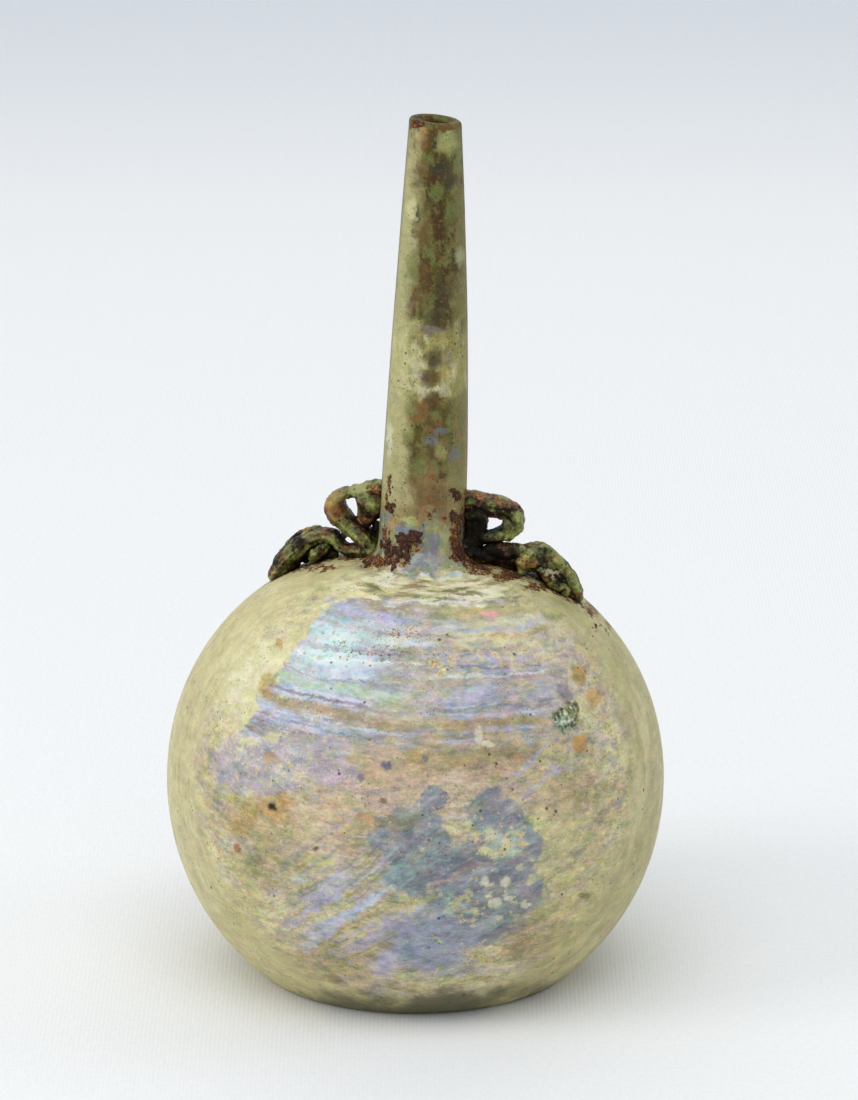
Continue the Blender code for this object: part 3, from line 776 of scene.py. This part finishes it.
neck_paint = neck_painted(neck_paint, {
    RUST: [(1.2, 170.0, 1.8, 2.4, 0.45), (3.2, 98.6, 3.0, 1.4, 0.45)],
    BROWN: [(1.6, 165.4, 2.0, 3.0, 0.6), (1.6, 152.4, 3.0, 3.0, 0.5), (1.4, 142.0, 2.6, 6.0, 0.5),
            (6.5, 127.5, 1.8, 3.0, 0.5), (3.0, 100.0, 4.5, 3.2, 0.5)],
    LEAF: [(6.4, 170.4, 3.0, 3.4, 0.55), (4.9, 109.0, 1.8, 2.2, 0.4)],
    MOSS: [(8.4, 166.5, 1.4, 3.4, 0.6), (7.0, 156.0, 2.0, 2.6, 0.6), (-0.6, 146.0, 1.6, 4.0, 0.6),
           (0.8, 106.0, 1.8, 2.2, 0.6), (-1.4, 112.0, 1.4, 3.6, 0.6)],
    DARK: [(4.0, 169.9, 0.8, 1.0, 0.95), (5.0, 165.2, 2.4, 2.2, 0.9), (6.8, 162.4, 2.0, 2.6, 0.9),
           (0.5, 156.6, 0.4, 2.6, 0.7), (5.2, 140.0, 2.0, 6.4, 0.6), (3.6, 135.6, 3.0, 2.0, 0.7),
           (3.4, 127.6, 2.4, 2.8, 0.9)],
    KHAKI: [(0.6, 160.0, 2.0, 3.4, 0.4)],
    CREAM: [(-0.9, 156.8, 1.4, 3.2, 0.7)],
    colour(168, 168, 128): [(8.9, 147.0, 1.8, 3.0, 0.7)],
    MAUVE: [(3.4, 133.6, 4.0, 1.2, 0.3), (1.2, 124.4, 2.4, 1.0, 0.4)],
    SHADE_BROWN: [(2.8, 123.8, 2.6, 2.2, 0.8), (3.4, 119.2, 2.6, 2.6, 0.85)],
    PALE: [(5.8, 121.5, 1.6, 2.0, 0.35), (-5.2, 110.5, 1.2, 6.0, 0.6)],
    NECK_BLUE: [(4.9, 113.0, 2.0, 1.3, 0.5), (3.1, 111.0, 1.6, 1.3, 0.5), (7.6, 107.6, 1.6, 2.2, 0.45)],
    MAROON: [(5.3, 104.2, 1.2, 1.1, 0.7)],
})
foot = sheet.between(shaken_height, 96.4, 93.4)
foot_paint = sheet.mix(sheet.between(drips, 0.42, 0.58), colour(104, 110, 100), colour(146, 148, 104))
foot_paint = stained(foot_paint, neck_stains, 0.6, (SLATE, OCHRE, LEAF))
foot_paint = neck_painted(foot_paint, {
    LEAF: [(-1.4, 94.8, 3.4, 1.2, 0.8)],
    SLATE: [(-1.0, 92.0, 3.0, 1.8, 0.8)],
    colour(112, 116, 146): [(3.4, 89.8, 2.4, 3.0, 0.7)],
    LILAC: [(4.6, 97.4, 1.0, 0.8, 0.8), (2.8, 86.6, 5.0, 2.0, 0.5)],
    KHAKI: [(6.4, 91.6, 1.0, 3.0, 0.8)],
    RUST: [(5.6, 95.4, 1.4, 1.2, 0.8)],
    SKY: [(0.0, 87.4, 2.6, 0.8, 0.4)],
    CREAM: [(5.0, 85.0, 2.4, 0.8, 0.5)],
})
neck_paint = sheet.mix(foot, neck_paint, foot_paint)
neck_paint = sheet.over(neck_paint, NECK_KHAKI, light_specks, 0.45)
neck_paint = sheet.over(neck_paint, DARK, dark_specks, 0.70)
neck_paint = sheet.over(neck_paint, INK, sheet.most(pits, fine_pits), 0.7)
at_back = sheet.between(y, -2.6, -0.6)
neck_paint = sheet.over(neck_paint, SHADE_OLIVE, at_back, 0.6)
mouth_paint = sheet.mix(sheet.between(drips, 0.46, 0.54), BROWN, MOSS)
mouth_paint = stained(mouth_paint, fine_stains, 0.5, (MAROON, OLIVE, INK))
mouth_dirt = sheet.between(shaken_height, 172.2, 173.6)
neck_paint = sheet.over(neck_paint, mouth_paint, mouth_dirt, 0.9)
neck_paint = neck_painted(neck_paint, {
    MAROON: [(0.4, 174.0, 1.4, 1.6, 0.9)],
    OCHRE: [(1.8, 172.4, 1.2, 0.8, 0.7)],
    LEAF: [(6.2, 172.6, 1.0, 0.8, 0.6)],
})
# Painted shade: a dark maroon stripe down the right edge of the upper neck.
neck_paint = sheet.mix(neck_patch(10.0, 165.0, 1.2, 7.0, 0.85), neck_paint, MAROON)
NECK_SKIN_FROM = 83.2
on_neck = sheet.times(sheet.between(shaken_height, 82.5, 86.0), sheet.between(z, NECK_SKIN_FROM, 84.8))
paint = sheet.mix(on_neck, paint, neck_paint, name="neck_marks")
mottling = sheet.minus(0.52, sheet.times(rim_band, 0.30))
paint = sheet.group(mottling_group, {"Color": paint, "Place": rows, "Per mm": 0.50,
                                     "Strength": mottling})["Color"]

# Earth round the handles' roots, at the foot of the neck and inside the rim. It clings where a handle
# is close, which the mesh's own "near_trail" tells.
near_trail = sheet.stored("near_trail")
neck_earth = sheet.most(*(neck_patch(*spot) for spot in (
    (-5.8, 90.2, 1.8, 4.4, 1.0), (-3.2, 87.4, 4.2, 2.4, 0.6), (0.2, 89.4, 1.5, 2.4, 0.6),
    (-5.2, 99.5, 1.1, 7.5, 0.9), (8.2, 91.0, 2.0, 6.0, 1.0), (0.8, 173.6, 2.4, 1.4, 0.8),
    (4.0, 96.0, 3.6, 1.6, 0.5))))
earth_places = sheet.most(sheet.times(near_trail, 0.9), sheet.marked(neck_earth, "neck_earth"), *(
    patch(*spot, 0.8, near_torn, amount) for *spot, amount in (
        (-7.5, 43.8, 6.0, 1.9, 1.0), (9.6, 44.8, 3.4, 2.6, 1.0), (13.0, 42.6, 4.6, 2.1, 1.0),
        (18.8, 40.6, 5.2, 1.6, 1.0), (25.0, 38.6, 5.0, 1.3, 0.9), (35.4, 34.4, 2.8, 3.0, 0.7),
        (38.4, 30.4, 1.2, 2.6, 0.6), (-21, 42.4, 8.0, 1.2, 0.7))))
earth = sheet.group(earth_group, {"Place": place, "Amount": earth_places})
soiled = sheet.times(earth["Mask"], sheet.between(earth_places, 0.02, 0.3))
paint = sheet.over(paint, earth["Color"], soiled, 0.96)
# Painted shade: black in the gap between the neck and the right handle.
paint = sheet.mix(neck_patch(10.4, 91.0, 3.0, 6.4, 0.97), paint, INK, name="neck_crevice_shade")

# The film and the bared glass shine a little. Flakes, and the broken bubble, stand out of the crust.
shine = sheet.marked(sheet.most(film_cover, sheet.times(bared, 0.7)), "body_shine")
shine = sheet.most(shine, sheet.times(rim_band, 0.35))
dullness = sheet.minus(0.60, sheet.times(shine, 0.28))
dullness = sheet.plus(dullness, sheet.times(sheet.most(soiled, mouth_dirt), 0.3), clamp=True)
relief = sheet.plus(sheet.times(sheet.between(islands, 0.44, 0.56), 0.35), sheet.times(flakes, 0.9))
relief = sheet.plus(relief, sheet.times(near_trail, flakes, 2.0))
pock = patch(29.5, 13.5, 2.8, 3.2, 0.5, front)
relief = sheet.plus(relief, sheet.times(pock, sheet.minus(flakes, 0.7), 1.6))
sheet.fill(shader, {"Base Color": paint, "Roughness": dullness, "Coat Weight": sheet.times(shine, 0.22),
                    "Coat Roughness": 0.28, "Specular IOR Level": 0.22,
                    "Normal": sheet.bump(relief, 0.6, 0.00022)})


def leave_out(material, names):
    """Takes the marks of these nodes out of the material, with all that only they need."""
    for name in names:
        made = material.node_tree.nodes[name]
        share = made.inputs[1] if made.type == "MATH" else made.inputs[0]
        if share.is_linked:
            material.node_tree.links.remove(share.links[0])
        share.default_value = 0.0


neck_skin = skin.copy()
neck_skin.name = "weathered_glass_neck"
leave_out(neck_skin, ("body_marks", "body_shine"))
leave_out(skin, ("neck_marks", "neck_earth", "neck_crevice_shade"))
glass_mesh.materials.append(skin)
glass_mesh.materials.append(neck_skin)
for face in glass_mesh.polygons:
    highest = max(glass_mesh.vertices[corner].co.z for corner in face.vertices)
    face.material_index = 1 if highest * MM > NECK_SKIN_FROM else 0
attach(flask_glass, "root")
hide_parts("flask")


# The handles: trails of dark green glass, dropped hot on the shoulder, pinched along it, looped up and
# pressed on the neck. Each melted into one lump with folds, so its strands are melted together here too.
MELT_GRAIN = 0.00022            # fineness of the melted surface
TRAIL_WRINKLE = 0.00026
TRAIL_PIT = 0.00012
RIDGE_HEIGHT = 0.00016          # how far a sharp fold stands out of its surroundings
TRAIL_FILL = 0.00016            # what the smoothing took off is put back
TRAIL_SETTLE = 0.0008           # glass this close to the flask melted onto it
TRAIL_SINK = 0.0002
STRAND_STEP = 0.0004
MELTING_ROUNDS = 2
FOLD_ROUNDS = 14                # rounds of smoothing after which the sharp folds are gone
WRINKLES = 420.0                # per metre
DIMPLES = 1500.0
DIMPLES_FROM = 0.25
LEFT_AZIMUTH = radians(160.0)
RIGHT_AZIMUTH = radians(0.0)
ROUTE_UNIT = 0.001


def over_shoulder(along, height, azimuth, aside=0.0):
    """A point over the shoulder: distance along it from the neck's foot, height over it, distance aside."""
    point = body_point((NECK_FOOT_RADIUS + along * ROUTE_UNIT) / BODY_RADIUS, height * ROUTE_UNIT)
    return Matrix.Rotation(azimuth, 3, "Z") @ Vector((point.x, aside * ROUTE_UNIT, point.y))


def add_strand(work, route, azimuth):
    """Lays beads of glass along a route of (along, height, half thickness, aside)."""
    for start, end in zip(route, route[1:]):
        first = over_shoulder(*start[:2], azimuth, start[3])
        last = over_shoulder(*end[:2], azimuth, end[3])
        steps = max(int((last - first).length / STRAND_STEP), 1)
        for step in range(steps + 1):
            along, height, half, aside = (a + (b - a) * step / steps for a, b in zip(start, end))
            spot = Matrix.Translation(over_shoulder(along, height, azimuth, aside))
            bmesh.ops.create_icosphere(work, subdivisions=2, radius=half * ROUTE_UNIT,
                                       matrix=spot @ Matrix.Rotation(azimuth, 4, "Z"))


def store(mesh, name, values):
    """Keeps a value for each vertex, which the mesh's material reads by this name."""
    mesh.attributes.new(name, "FLOAT", "POINT").data.foreach_set("value", values)


def melted_handle(node, name, strands, azimuth):
    """The handle's solid with its folds laid on, melted into one skin and wrinkled as cooled glass is."""
    work = bmesh.new()
    work.from_mesh(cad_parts[node].data)
    bmesh.ops.remove_doubles(work, verts=work.verts, dist=WELD)
    for route in strands:
        add_strand(work, route, azimuth)
    lump = into_scene(work, name)
    melt = lump.modifiers.new("Melt", "REMESH")
    melt.mode = "VOXEL"
    melt.voxel_size = MELT_GRAIN
    evaluated = lump.evaluated_get(bpy.context.evaluated_depsgraph_get())
    work = bmesh.new()
    work.from_mesh(bpy.data.meshes.new_from_object(evaluated))
    lump.modifiers.clear()
    smoothed = {"verts": work.verts, "factor": 0.5}
    smoothed.update(use_axis_x=True, use_axis_y=True, use_axis_z=True)
    for _ in range(MELTING_ROUNDS):
        bmesh.ops.smooth_vert(work, **smoothed)
    work.normal_update()
    folded = [(vertex.co.copy(), vertex.normal.copy()) for vertex in work.verts]
    for _ in range(FOLD_ROUNDS):
        bmesh.ops.smooth_vert(work, **smoothed)
    ridges = []
    for vertex, (spot, facing) in zip(work.verts, folded):
        ridges.append(min(max(0.5 + (spot - vertex.co).dot(facing) / RIDGE_HEIGHT / 2.0, 0.0), 1.0))
        vertex.co = spot
    for vertex in work.verts:
        wrinkle = noise.fractal(vertex.co * WRINKLES, 0.6, 2.0, 4) * TRAIL_WRINKLE
        dimple = max(noise.noise(vertex.co * DIMPLES) - DIMPLES_FROM, 0.0) * TRAIL_PIT * 4.0
        vertex.co += vertex.normal * (TRAIL_FILL + wrinkle - dimple)
        spot, facing, _, gap = flask_surface.find_nearest(vertex.co)
        if gap < TRAIL_SETTLE:
            vertex.co = vertex.co.lerp(spot - facing * TRAIL_SINK, 1.0 - gap / TRAIL_SETTLE)
    for face in work.faces:
        face.smooth = True
    work.to_mesh(lump.data)
    work.free()
    store(lump.data, "ridge", ridges)
    return lump


LEFT_FOLDS = [
    [(13.6, 2.9, 0.8, -1.8), (12.8, 3.4, 1.0, -2.4), (12.4, 2.2, 1.1, -2.6), (13.0, 1.5, 0.8, -2.2)],
    [(22.0, 2.4, 0.8, -1.8), (18.4, 4.6, 1.0, -2.2), (14.8, 5.9, 0.9, -2.0), (11.6, 6.0, 0.7, -1.6)],
    [(2.4, 13.4, 0.9, -1.2), (2.1, 11.6, 1.0, -1.6), (1.9, 9.6, 0.9, -1.6), (2.2, 8.0, 0.8, -1.2)],
    [(1.0, 13.4, 0.8, -2.0), (0.5, 11.4, 1.0, -2.4), (0.6, 9.2, 0.9, -2.0), (1.4, 7.6, 0.7, -1.4)],
    [(-0.8, 12.8, 0.8, -2.2), (-1.0, 10.6, 0.8, -2.4), (-0.8, 8.6, 0.7, -1.8)],
    [(5.6, 6.4, 0.9, -1.8), (7.0, 9.2, 0.9, -2.0), (6.8, 11.4, 0.8, -1.8)],
    [(6.6, 4.2, 0.7, -0.6), (5.6, 5.2, 0.8, -0.8), (4.6, 6.0, 0.9, -0.8)],
    [(0.2, 1.6, 1.1, -1.0), (0.2, 3.6, 1.0, -1.4), (-0.4, 6.0, 0.8, -1.2)],
    [(10.4, 0.9, 1.0, -1.2), (12.6, 1.4, 1.3, -1.4), (14.8, 1.8, 1.4, -1.4), (17.0, 1.6, 1.1, -1.4)],
    [(9.8, 1.6, 0.5, -1.4), (7.4, 1.2, 0.5, -1.4), (5.0, 1.0, 0.5, -1.2), (2.6, 1.0, 0.6, -1.0)],
]
RIGHT_FOLDS = [
    [(25.0, 2.2, 1.0, -1.8), (21.6, 4.2, 1.2, -2.4), (18.2, 5.8, 1.1, -2.2), (15.4, 6.4, 0.9, -1.8)],
    [(23.4, 1.0, 1.0, -2.4), (20.0, 1.6, 1.2, -3.0), (17.6, 2.6, 1.1, -2.8)],
    [(13.8, 4.6, 1.2, -2.2), (12.8, 2.8, 1.3, -2.6), (13.6, 1.2, 1.0, -2.4)],
    [(8.6, 6.8, 0.9, -2.0), (9.9, 9.2, 1.0, -2.2), (8.8, 11.4, 1.0, -2.2)],
    [(2.4, 12.4, 0.8, -2.0), (4.6, 12.8, 0.9, -2.2), (7.0, 12.4, 0.9, -2.0)],
    [(1.0, 9.8, 0.9, -2.2), (2.8, 10.4, 1.0, -2.4), (3.6, 8.4, 0.9, -2.0), (3.6, 6.6, 0.8, -1.6)],
    [(4.2, 5.6, 0.9, -1.8), (5.8, 6.2, 1.0, -2.0), (7.4, 6.8, 0.9, -1.8)],
    [(4.4, 1.4, 1.6, -1.0), (5.8, 1.9, 1.6, -1.2), (7.2, 2.2, 1.2, -1.2)],
    [(6.4, 3.4, 1.3, -1.6), (9.4, 3.8, 1.6, -1.8), (11.8, 4.4, 1.5, -1.8)],
    [(12.4, 4.4, 0.9, -2.2), (15.0, 3.4, 0.9, -2.8), (18.0, 3.6, 0.8, -2.8)],
]

trail_skin, sheet, shader = new_material("dark_green_glass")
place = sheet.in_millimetres()
blots = sheet.noise(place, 0.26, 6.0, 0.64)[0]
stains = sheet.noise(sheet.turned(place, (11.0, 4.0, 9.0)), 0.24, 6.0, 0.66)[0]
specks = sheet.noise(place, 1.6, 5.0, 0.72)[0]
hollow_shade = sheet.stored("hollow_shade")
ridge = sheet.stored("ridge")
trail_paint = sheet.mix(sheet.between(blots, 0.42, 0.54), colour(38, 34, 12), colour(102, 104, 44))
trail_paint = sheet.layered(trail_paint, (stains, 0.50, 0.55, 0.85, colour(86, 44, 18)),
                            (stains, 0.58, 0.63, 0.85, colour(176, 112, 44)))
# Painted highlights and shade: the ridges of the folds are painted pale green, their creases black.
fold_shading = sheet.plus(ridge, sheet.times(sheet.minus(blots, 0.5), 1.6))
trail_paint = sheet.layered(trail_paint, (fold_shading, 0.60, 0.92, 0.85, colour(160, 162, 88)),
                            (specks, 0.60, 0.68, 0.6, colour(196, 186, 122)),
                            (specks, 0.42, 0.36, 0.8, INK), (fold_shading, 0.48, 0.28, 1.0, INK))
# Painted shade: the closed-in parts of the handles are painted black.
trail_paint = sheet.over(trail_paint, INK, hollow_shade, 0.95)
trail_paint = sheet.group(mottling_group, {"Color": trail_paint, "Place": place, "Per mm": 0.5,
                                           "Strength": 0.7})["Color"]

# Marks of their own: right of the axis, height over the base and reach, in millimetres. The black
# ones are painted shade, in the hollows by the neck and the tails.
shake = sheet.shake(place, 0.5, 4.0, 0.6)
shaken = sheet.vector("ADD", place, sheet.vector("MULTIPLY", shake, (6.0, 6.0, 6.0)))
for right, height, wide, high, amount, pigment in (
    (12.0, 91.0, 5.0, 8.0, 0.98, INK), (-17.0, 98.0, 3.0, 6.0, 0.6, colour(190, 160, 92)),
    (-16.0, 93.5, 3.4, 2.6, 0.5, RUST), (-23.5, 86.5, 2.0, 1.8, 0.9, INK),
    (-11.5, 99.0, 2.4, 3.0, 0.5, LEAF), (14.6, 86.4, 5.0, 3.6, 0.95, INK),
    (22.0, 84.6, 3.0, 1.0, 0.6, OCHRE), (27.0, 83.0, 2.6, 1.0, 0.6, CREAM),
    (33.0, 76.0, 2.6, 3.0, 0.6, INK), (17.0, 93.0, 2.4, 1.6, 0.6, INK),
):
    mark = sheet.patch(shaken, (right, 0.0, height), (wide, 30.0, high), 0.7, amount)
    trail_paint = sheet.mix(mark, trail_paint, pigment)
trail_pits = sheet.group(pits_group, {"Place": place, "Per mm": 1.4, "Size": 0.4,
                                      "Clustering": 0.4})["Mask"]
trail_paint = sheet.over(trail_paint, colour(24, 18, 10), trail_pits, 0.7)

# The gloss keeps off what is painted black.
lightness = sheet.node("ShaderNodeSeparateColor", {0: trail_paint}, mode="HSV").outputs[2]
trail_relief = sheet.minus(specks, sheet.times(trail_pits, 0.6))
sheet.fill(shader, {"Base Color": trail_paint, "Roughness": sheet.between(stains, 0.46, 0.60, 0.24, 0.62),
                    "Coat Weight": sheet.between(lightness, 0.004, 0.08, 0.0, 0.5), "Coat Roughness": 0.35,
                    "Specular IOR Level": 0.12, "Normal": sheet.bump(trail_relief, 0.7, 0.0003)})


def surface_of(thing):
    """The surface of an object, to which rays and distances are measured."""
    mesh = thing.data
    return BVHTree.FromPolygons([v.co for v in mesh.vertices], [p.vertices for p in mesh.polygons])


HOLLOW_REACH = 0.006
HOLLOW_FROM = 0.35              # share of rays that meet glass again, from open to closed in
HOLLOW_RANGE = 0.5
RAYS = 23
RAY_TURN = 2.4
RAY_LIFT = 0.0001
RAY_RISE = 0.15


def mark_hollows(thing, others):
    """Stores how closed in each vertex is, from the share of short rays that meet glass again."""
    surfaces = (surface_of(thing), *others)
    directions = []
    for ray in range(RAYS):
        high = ray / ((RAYS - 1) / 2) - 1.0
        wide = sqrt(1 - high * high)
        directions.append(Vector((sin(ray * RAY_TURN) * wide, cos(ray * RAY_TURN) * wide, high)))
    values = []
    for vertex in thing.data.vertices:
        start = vertex.co + vertex.normal * RAY_LIFT
        ways = [way for way in directions if way.dot(vertex.normal) > RAY_RISE]
        met = sum(1 for way in ways
                  if any(surface.ray_cast(start, way, HOLLOW_REACH)[0] is not None for surface in surfaces))
        values.append(min(max((met / max(len(ways), 1) - HOLLOW_FROM) / HOLLOW_RANGE, 0.0), 1.0))
    store(thing.data, "hollow_shade", values)


trails = []
for node, name, folds, azimuth in (("handle_left", "handle_left_trail", LEFT_FOLDS, LEFT_AZIMUTH),
                                   ("handle_right", "handle_right_trail", RIGHT_FOLDS, RIGHT_AZIMUTH)):
    trail = melted_handle(node, name, folds, azimuth)
    mark_hollows(trail, [flask_surface])
    trail.data.materials.append(trail_skin)
    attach(trail, "root")
    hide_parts(node)
    trails.append(trail)

# The flask's mesh learns how near a handle is, for the earth that clings there.
EARTH_REACH = 0.0030
trail_surfaces = [surface_of(trail) for trail in trails]
nearness = []
for vertex in glass_mesh.vertices:
    gap = min(surface.find_nearest(vertex.co)[3] for surface in trail_surfaces)
    nearness.append(max(1.0 - gap / EARTH_REACH, 0.0))
store(glass_mesh, "near_trail", nearness)


# Earth: clods of the ground that the flask lay in, still stuck in the roots of the handles, at the foot
# of the neck and low on the right shoulder.
CLOD_SEED = 7
CLOD_SINK = 0.15                # shares of a clod's size
CLOD_RADIUS = 0.7
CLOD_LUMPINESS = 0.45
CLOD_LUMPS = 1600.0             # per metre
CLOD_SMALLEST = 0.30            # share of the largest clod's size
FEW_LARGE = 1.8
FLATTEST, ROUNDEST = 0.3, 0.5
NARROWEST, WIDEST = 0.7, 1.3
BEFORE_FLASK = 0.2              # from here rays look for the front of the flask
dice = Random(CLOD_SEED)
noise.seed_set(CLOD_SEED)       # noise_vector would differ from run to run without it
front_right = Vector((1.0, 0.0, 0.0))
front_up = Vector((0.0, sin(FRONT_TILT), cos(FRONT_TILT)))
front_in = Vector((0.0, cos(FRONT_TILT), -sin(FRONT_TILT)))


def on_front(right, up):
    """Where the front of the flask is met, right and up of the body's middle in millimetres."""
    aside = (front_right * right + front_up * up) * ROUTE_UNIT
    start = Vector((0.0, 0.0, BODY_CENTRE)) + aside - front_in * BEFORE_FLASK
    return flask_surface.ray_cast(start, front_in, 2 * BEFORE_FLASK)[:2]


# Heaps of clods: middle right and up, spread right and up, how many and the largest clod, in millimetres.
HEAPS = [
    (-2.8, 47.0, 3.4, 2.4, 48, 1.25), (-6.9, 44.1, 3.6, 1.2, 32, 1.15), (-4.9, 56.0, 0.6, 3.6, 18, 0.75),
    (8.2, 50.0, 0.9, 4.6, 32, 1.00), (12.0, 43.8, 3.2, 1.4, 32, 1.15), (18.5, 40.6, 3.0, 0.8, 20, 0.85),
    (36.4, 32.6, 1.2, 2.2, 10, 0.50),
]
CLODS_IN_A_KNOT = 8
KNOT_SPREAD = 0.55              # millimetres
work = bmesh.new()
for right, up, wide, high, count, largest in HEAPS:
    for place_in_heap in range(count):
        if place_in_heap % CLODS_IN_A_KNOT == 0:
            knot = (dice.gauss(right, wide / 1.6), dice.gauss(up, high / 1.6))
        spot, facing = on_front(dice.gauss(knot[0], KNOT_SPREAD), dice.gauss(knot[1], KNOT_SPREAD))
        if spot is None:
            continue
        share = CLOD_SMALLEST + (1.0 - CLOD_SMALLEST) * dice.random() ** FEW_LARGE
        size = largest * ROUTE_UNIT * share
        turn = facing.to_track_quat("Z", "Y").to_matrix().to_4x4()
        width, depth = dice.uniform(NARROWEST, WIDEST), dice.uniform(NARROWEST, WIDEST)
        squash = Matrix.Diagonal((width, depth, dice.uniform(FLATTEST, ROUNDEST), 1.0))
        lift = Matrix.Translation(spot + facing * size * CLOD_SINK)
        made = bmesh.ops.create_icosphere(work, subdivisions=2, radius=size * CLOD_RADIUS,
                                          matrix=lift @ turn @ squash)
        for vertex in made["verts"]:
            vertex.co += noise.noise_vector(vertex.co * CLOD_LUMPS) * size * CLOD_LUMPINESS
earth_clods = into_scene(work, "earth_clods")

earth_skin, sheet, shader = new_material("earth")
place = sheet.in_millimetres()
soil = sheet.group(earth_group, {"Place": place, "Amount": 1.0})
lightness = sheet.noise(place, 1.1, 3.0, 0.6)[0]
soil_paint = sheet.mix(sheet.between(lightness, 0.38, 0.58, 0.25, 0.9), soil["Color"], colour(62, 34, 18))
sheet.fill(shader, {"Base Color": soil_paint, "Roughness": 0.9,
                    "Normal": sheet.bump(sheet.noise(place, 3.5, 4.0, 0.7)[0], 0.8, 0.0002)})
earth_clods.data.materials.append(earth_skin)
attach(earth_clods, "root")


# The photographer's cloth: a pale woven sheet that lies flat under the flask and curves up behind it.
# It isn't part of the flask.
CLOTH_WIDTH = 6.0
CLOTH_NEAR = -3.0
CLOTH_BEND = 1.35
CLOTH_BEND_RADIUS = 0.45
CLOTH_BEND_ANGLE = radians(84.0)
CLOTH_BEND_STEPS = 24
CLOTH_TOP = 1.5
THREAD = 0.00086

work = bmesh.new()
line = [Vector((0.0, CLOTH_NEAR, 0.0)), Vector((0.0, 0.0, 0.0))]
for step in range(CLOTH_BEND_STEPS + 1):
    angle = CLOTH_BEND_ANGLE * step / CLOTH_BEND_STEPS
    back, up = CLOTH_BEND_RADIUS * sin(angle), CLOTH_BEND_RADIUS * (1.0 - cos(angle))
    line.append(Vector((0.0, CLOTH_BEND + back, up)))
line.append(line[-1] + Vector((0.0, 0.1, 1.0)) * CLOTH_TOP)
across = [work.verts.new(point - Vector((CLOTH_WIDTH / 2, 0.0, 0.0))) for point in line]
run = [work.edges.new(pair) for pair in zip(across, across[1:])]
extruded = bmesh.ops.extrude_edge_only(work, edges=run)["geom"]
far_side = [part for part in extruded if isinstance(part, bmesh.types.BMVert)]
bmesh.ops.translate(work, vec=(CLOTH_WIDTH, 0.0, 0.0), verts=far_side)
bmesh.ops.recalc_face_normals(work, faces=work.faces)
backdrop = into_scene(work, "backdrop_cloth")

cloth, sheet, shader = new_material("backdrop_cloth")
place = sheet.node("ShaderNodeTexCoord").outputs["Object"]
x, y, z = sheet.parts(place)
thread_wave = sheet.maths("SINE", sheet.times(x, 2 * pi / THREAD))
# Painted shade: the cloth is painted darker towards the back, where less light reaches it.
shade = sheet.mix(sheet.between(y, 0.58, 1.0), colour(240, 241, 241), colour(224, 228, 233))
uneven = sheet.between(sheet.noise(place, 900.0, 2.0)[0], 0.4, 0.7, 0.0, 0.25)
shade = sheet.mix(uneven, shade, colour(226, 228, 230))
sheet.fill(shader, {"Base Color": shade, "Roughness": 0.9, "Normal": sheet.bump(thread_wave, 0.12, 0.0001)})
backdrop.data.materials.append(cloth)


# The light: a wide soft source overhead and in front, one on each side and one behind, as in a small
# studio with white walls.
LAMPS = [
    # name, place, size, watts, colour
    ("overhead_window", (-0.05, -0.50, 1.15), (1.1, 0.8), 5.2, (0.96, 0.98, 1.0)),
    ("left_window", (-1.2, -0.45, 0.8), (0.6, 0.8), 5.8, (1.0, 0.98, 0.95)),
    ("right_window", (1.25, 0.15, 0.6), (0.5, 0.7), 2.0, (0.95, 0.98, 1.0)),
    ("rear_window", (0.0, 0.85, 0.95), (1.4, 0.8), 3.2, (1.0, 0.985, 0.955)),
]
LAMP_AIMS = {"rear_window": (0.0, 0.45, 0.0)}
for name, spot, size, power, tint in LAMPS:
    lamp = bpy.data.lights.new(name, "AREA")
    lamp.shape = "RECTANGLE"
    lamp.size, lamp.size_y = size
    lamp.energy = power
    lamp.color = tint
    stand = bpy.data.objects.new(name, lamp)
    stand.location = spot
    aim = Vector(LAMP_AIMS.get(name, (0.0, 0.0, 0.08)))
    stand.rotation_euler = (Vector(spot) - aim).to_track_quat("Z", "Y").to_euler()
    bpy.context.scene.collection.objects.link(stand)

world = bpy.data.worlds.new("studio_walls")
world.use_nodes = True
world.node_tree.nodes["Background"].inputs["Color"].default_value = (0.93, 0.96, 1.0, 1.0)
world.node_tree.nodes["Background"].inputs["Strength"].default_value = 0.58
bpy.context.scene.world = world
bpy.context.scene.view_settings.view_transform = "Standard"


# The camera: a long lens, a little over a metre off, that looks down on the flask by FRONT_TILT. The
# flask nearly fills the height of its picture.
CAMERA_DISTANCE = 1.1
CAMERA_AIM = Vector((0.00272, 0.0, BODY_CENTRE + 0.04784))
LENS = 180.75
SENSOR = 36.0

camera_data = bpy.data.cameras.new("camera")
camera_data.sensor_fit = "VERTICAL"
camera_data.sensor_height = SENSOR
camera_data.lens = LENS
camera = bpy.data.objects.new("camera", camera_data)
camera.location = CAMERA_AIM - front_in * CAMERA_DISTANCE
camera.rotation_euler = (pi / 2 - FRONT_TILT, 0.0, 0.0)
bpy.context.scene.collection.objects.link(camera)
bpy.context.scene.camera = camera
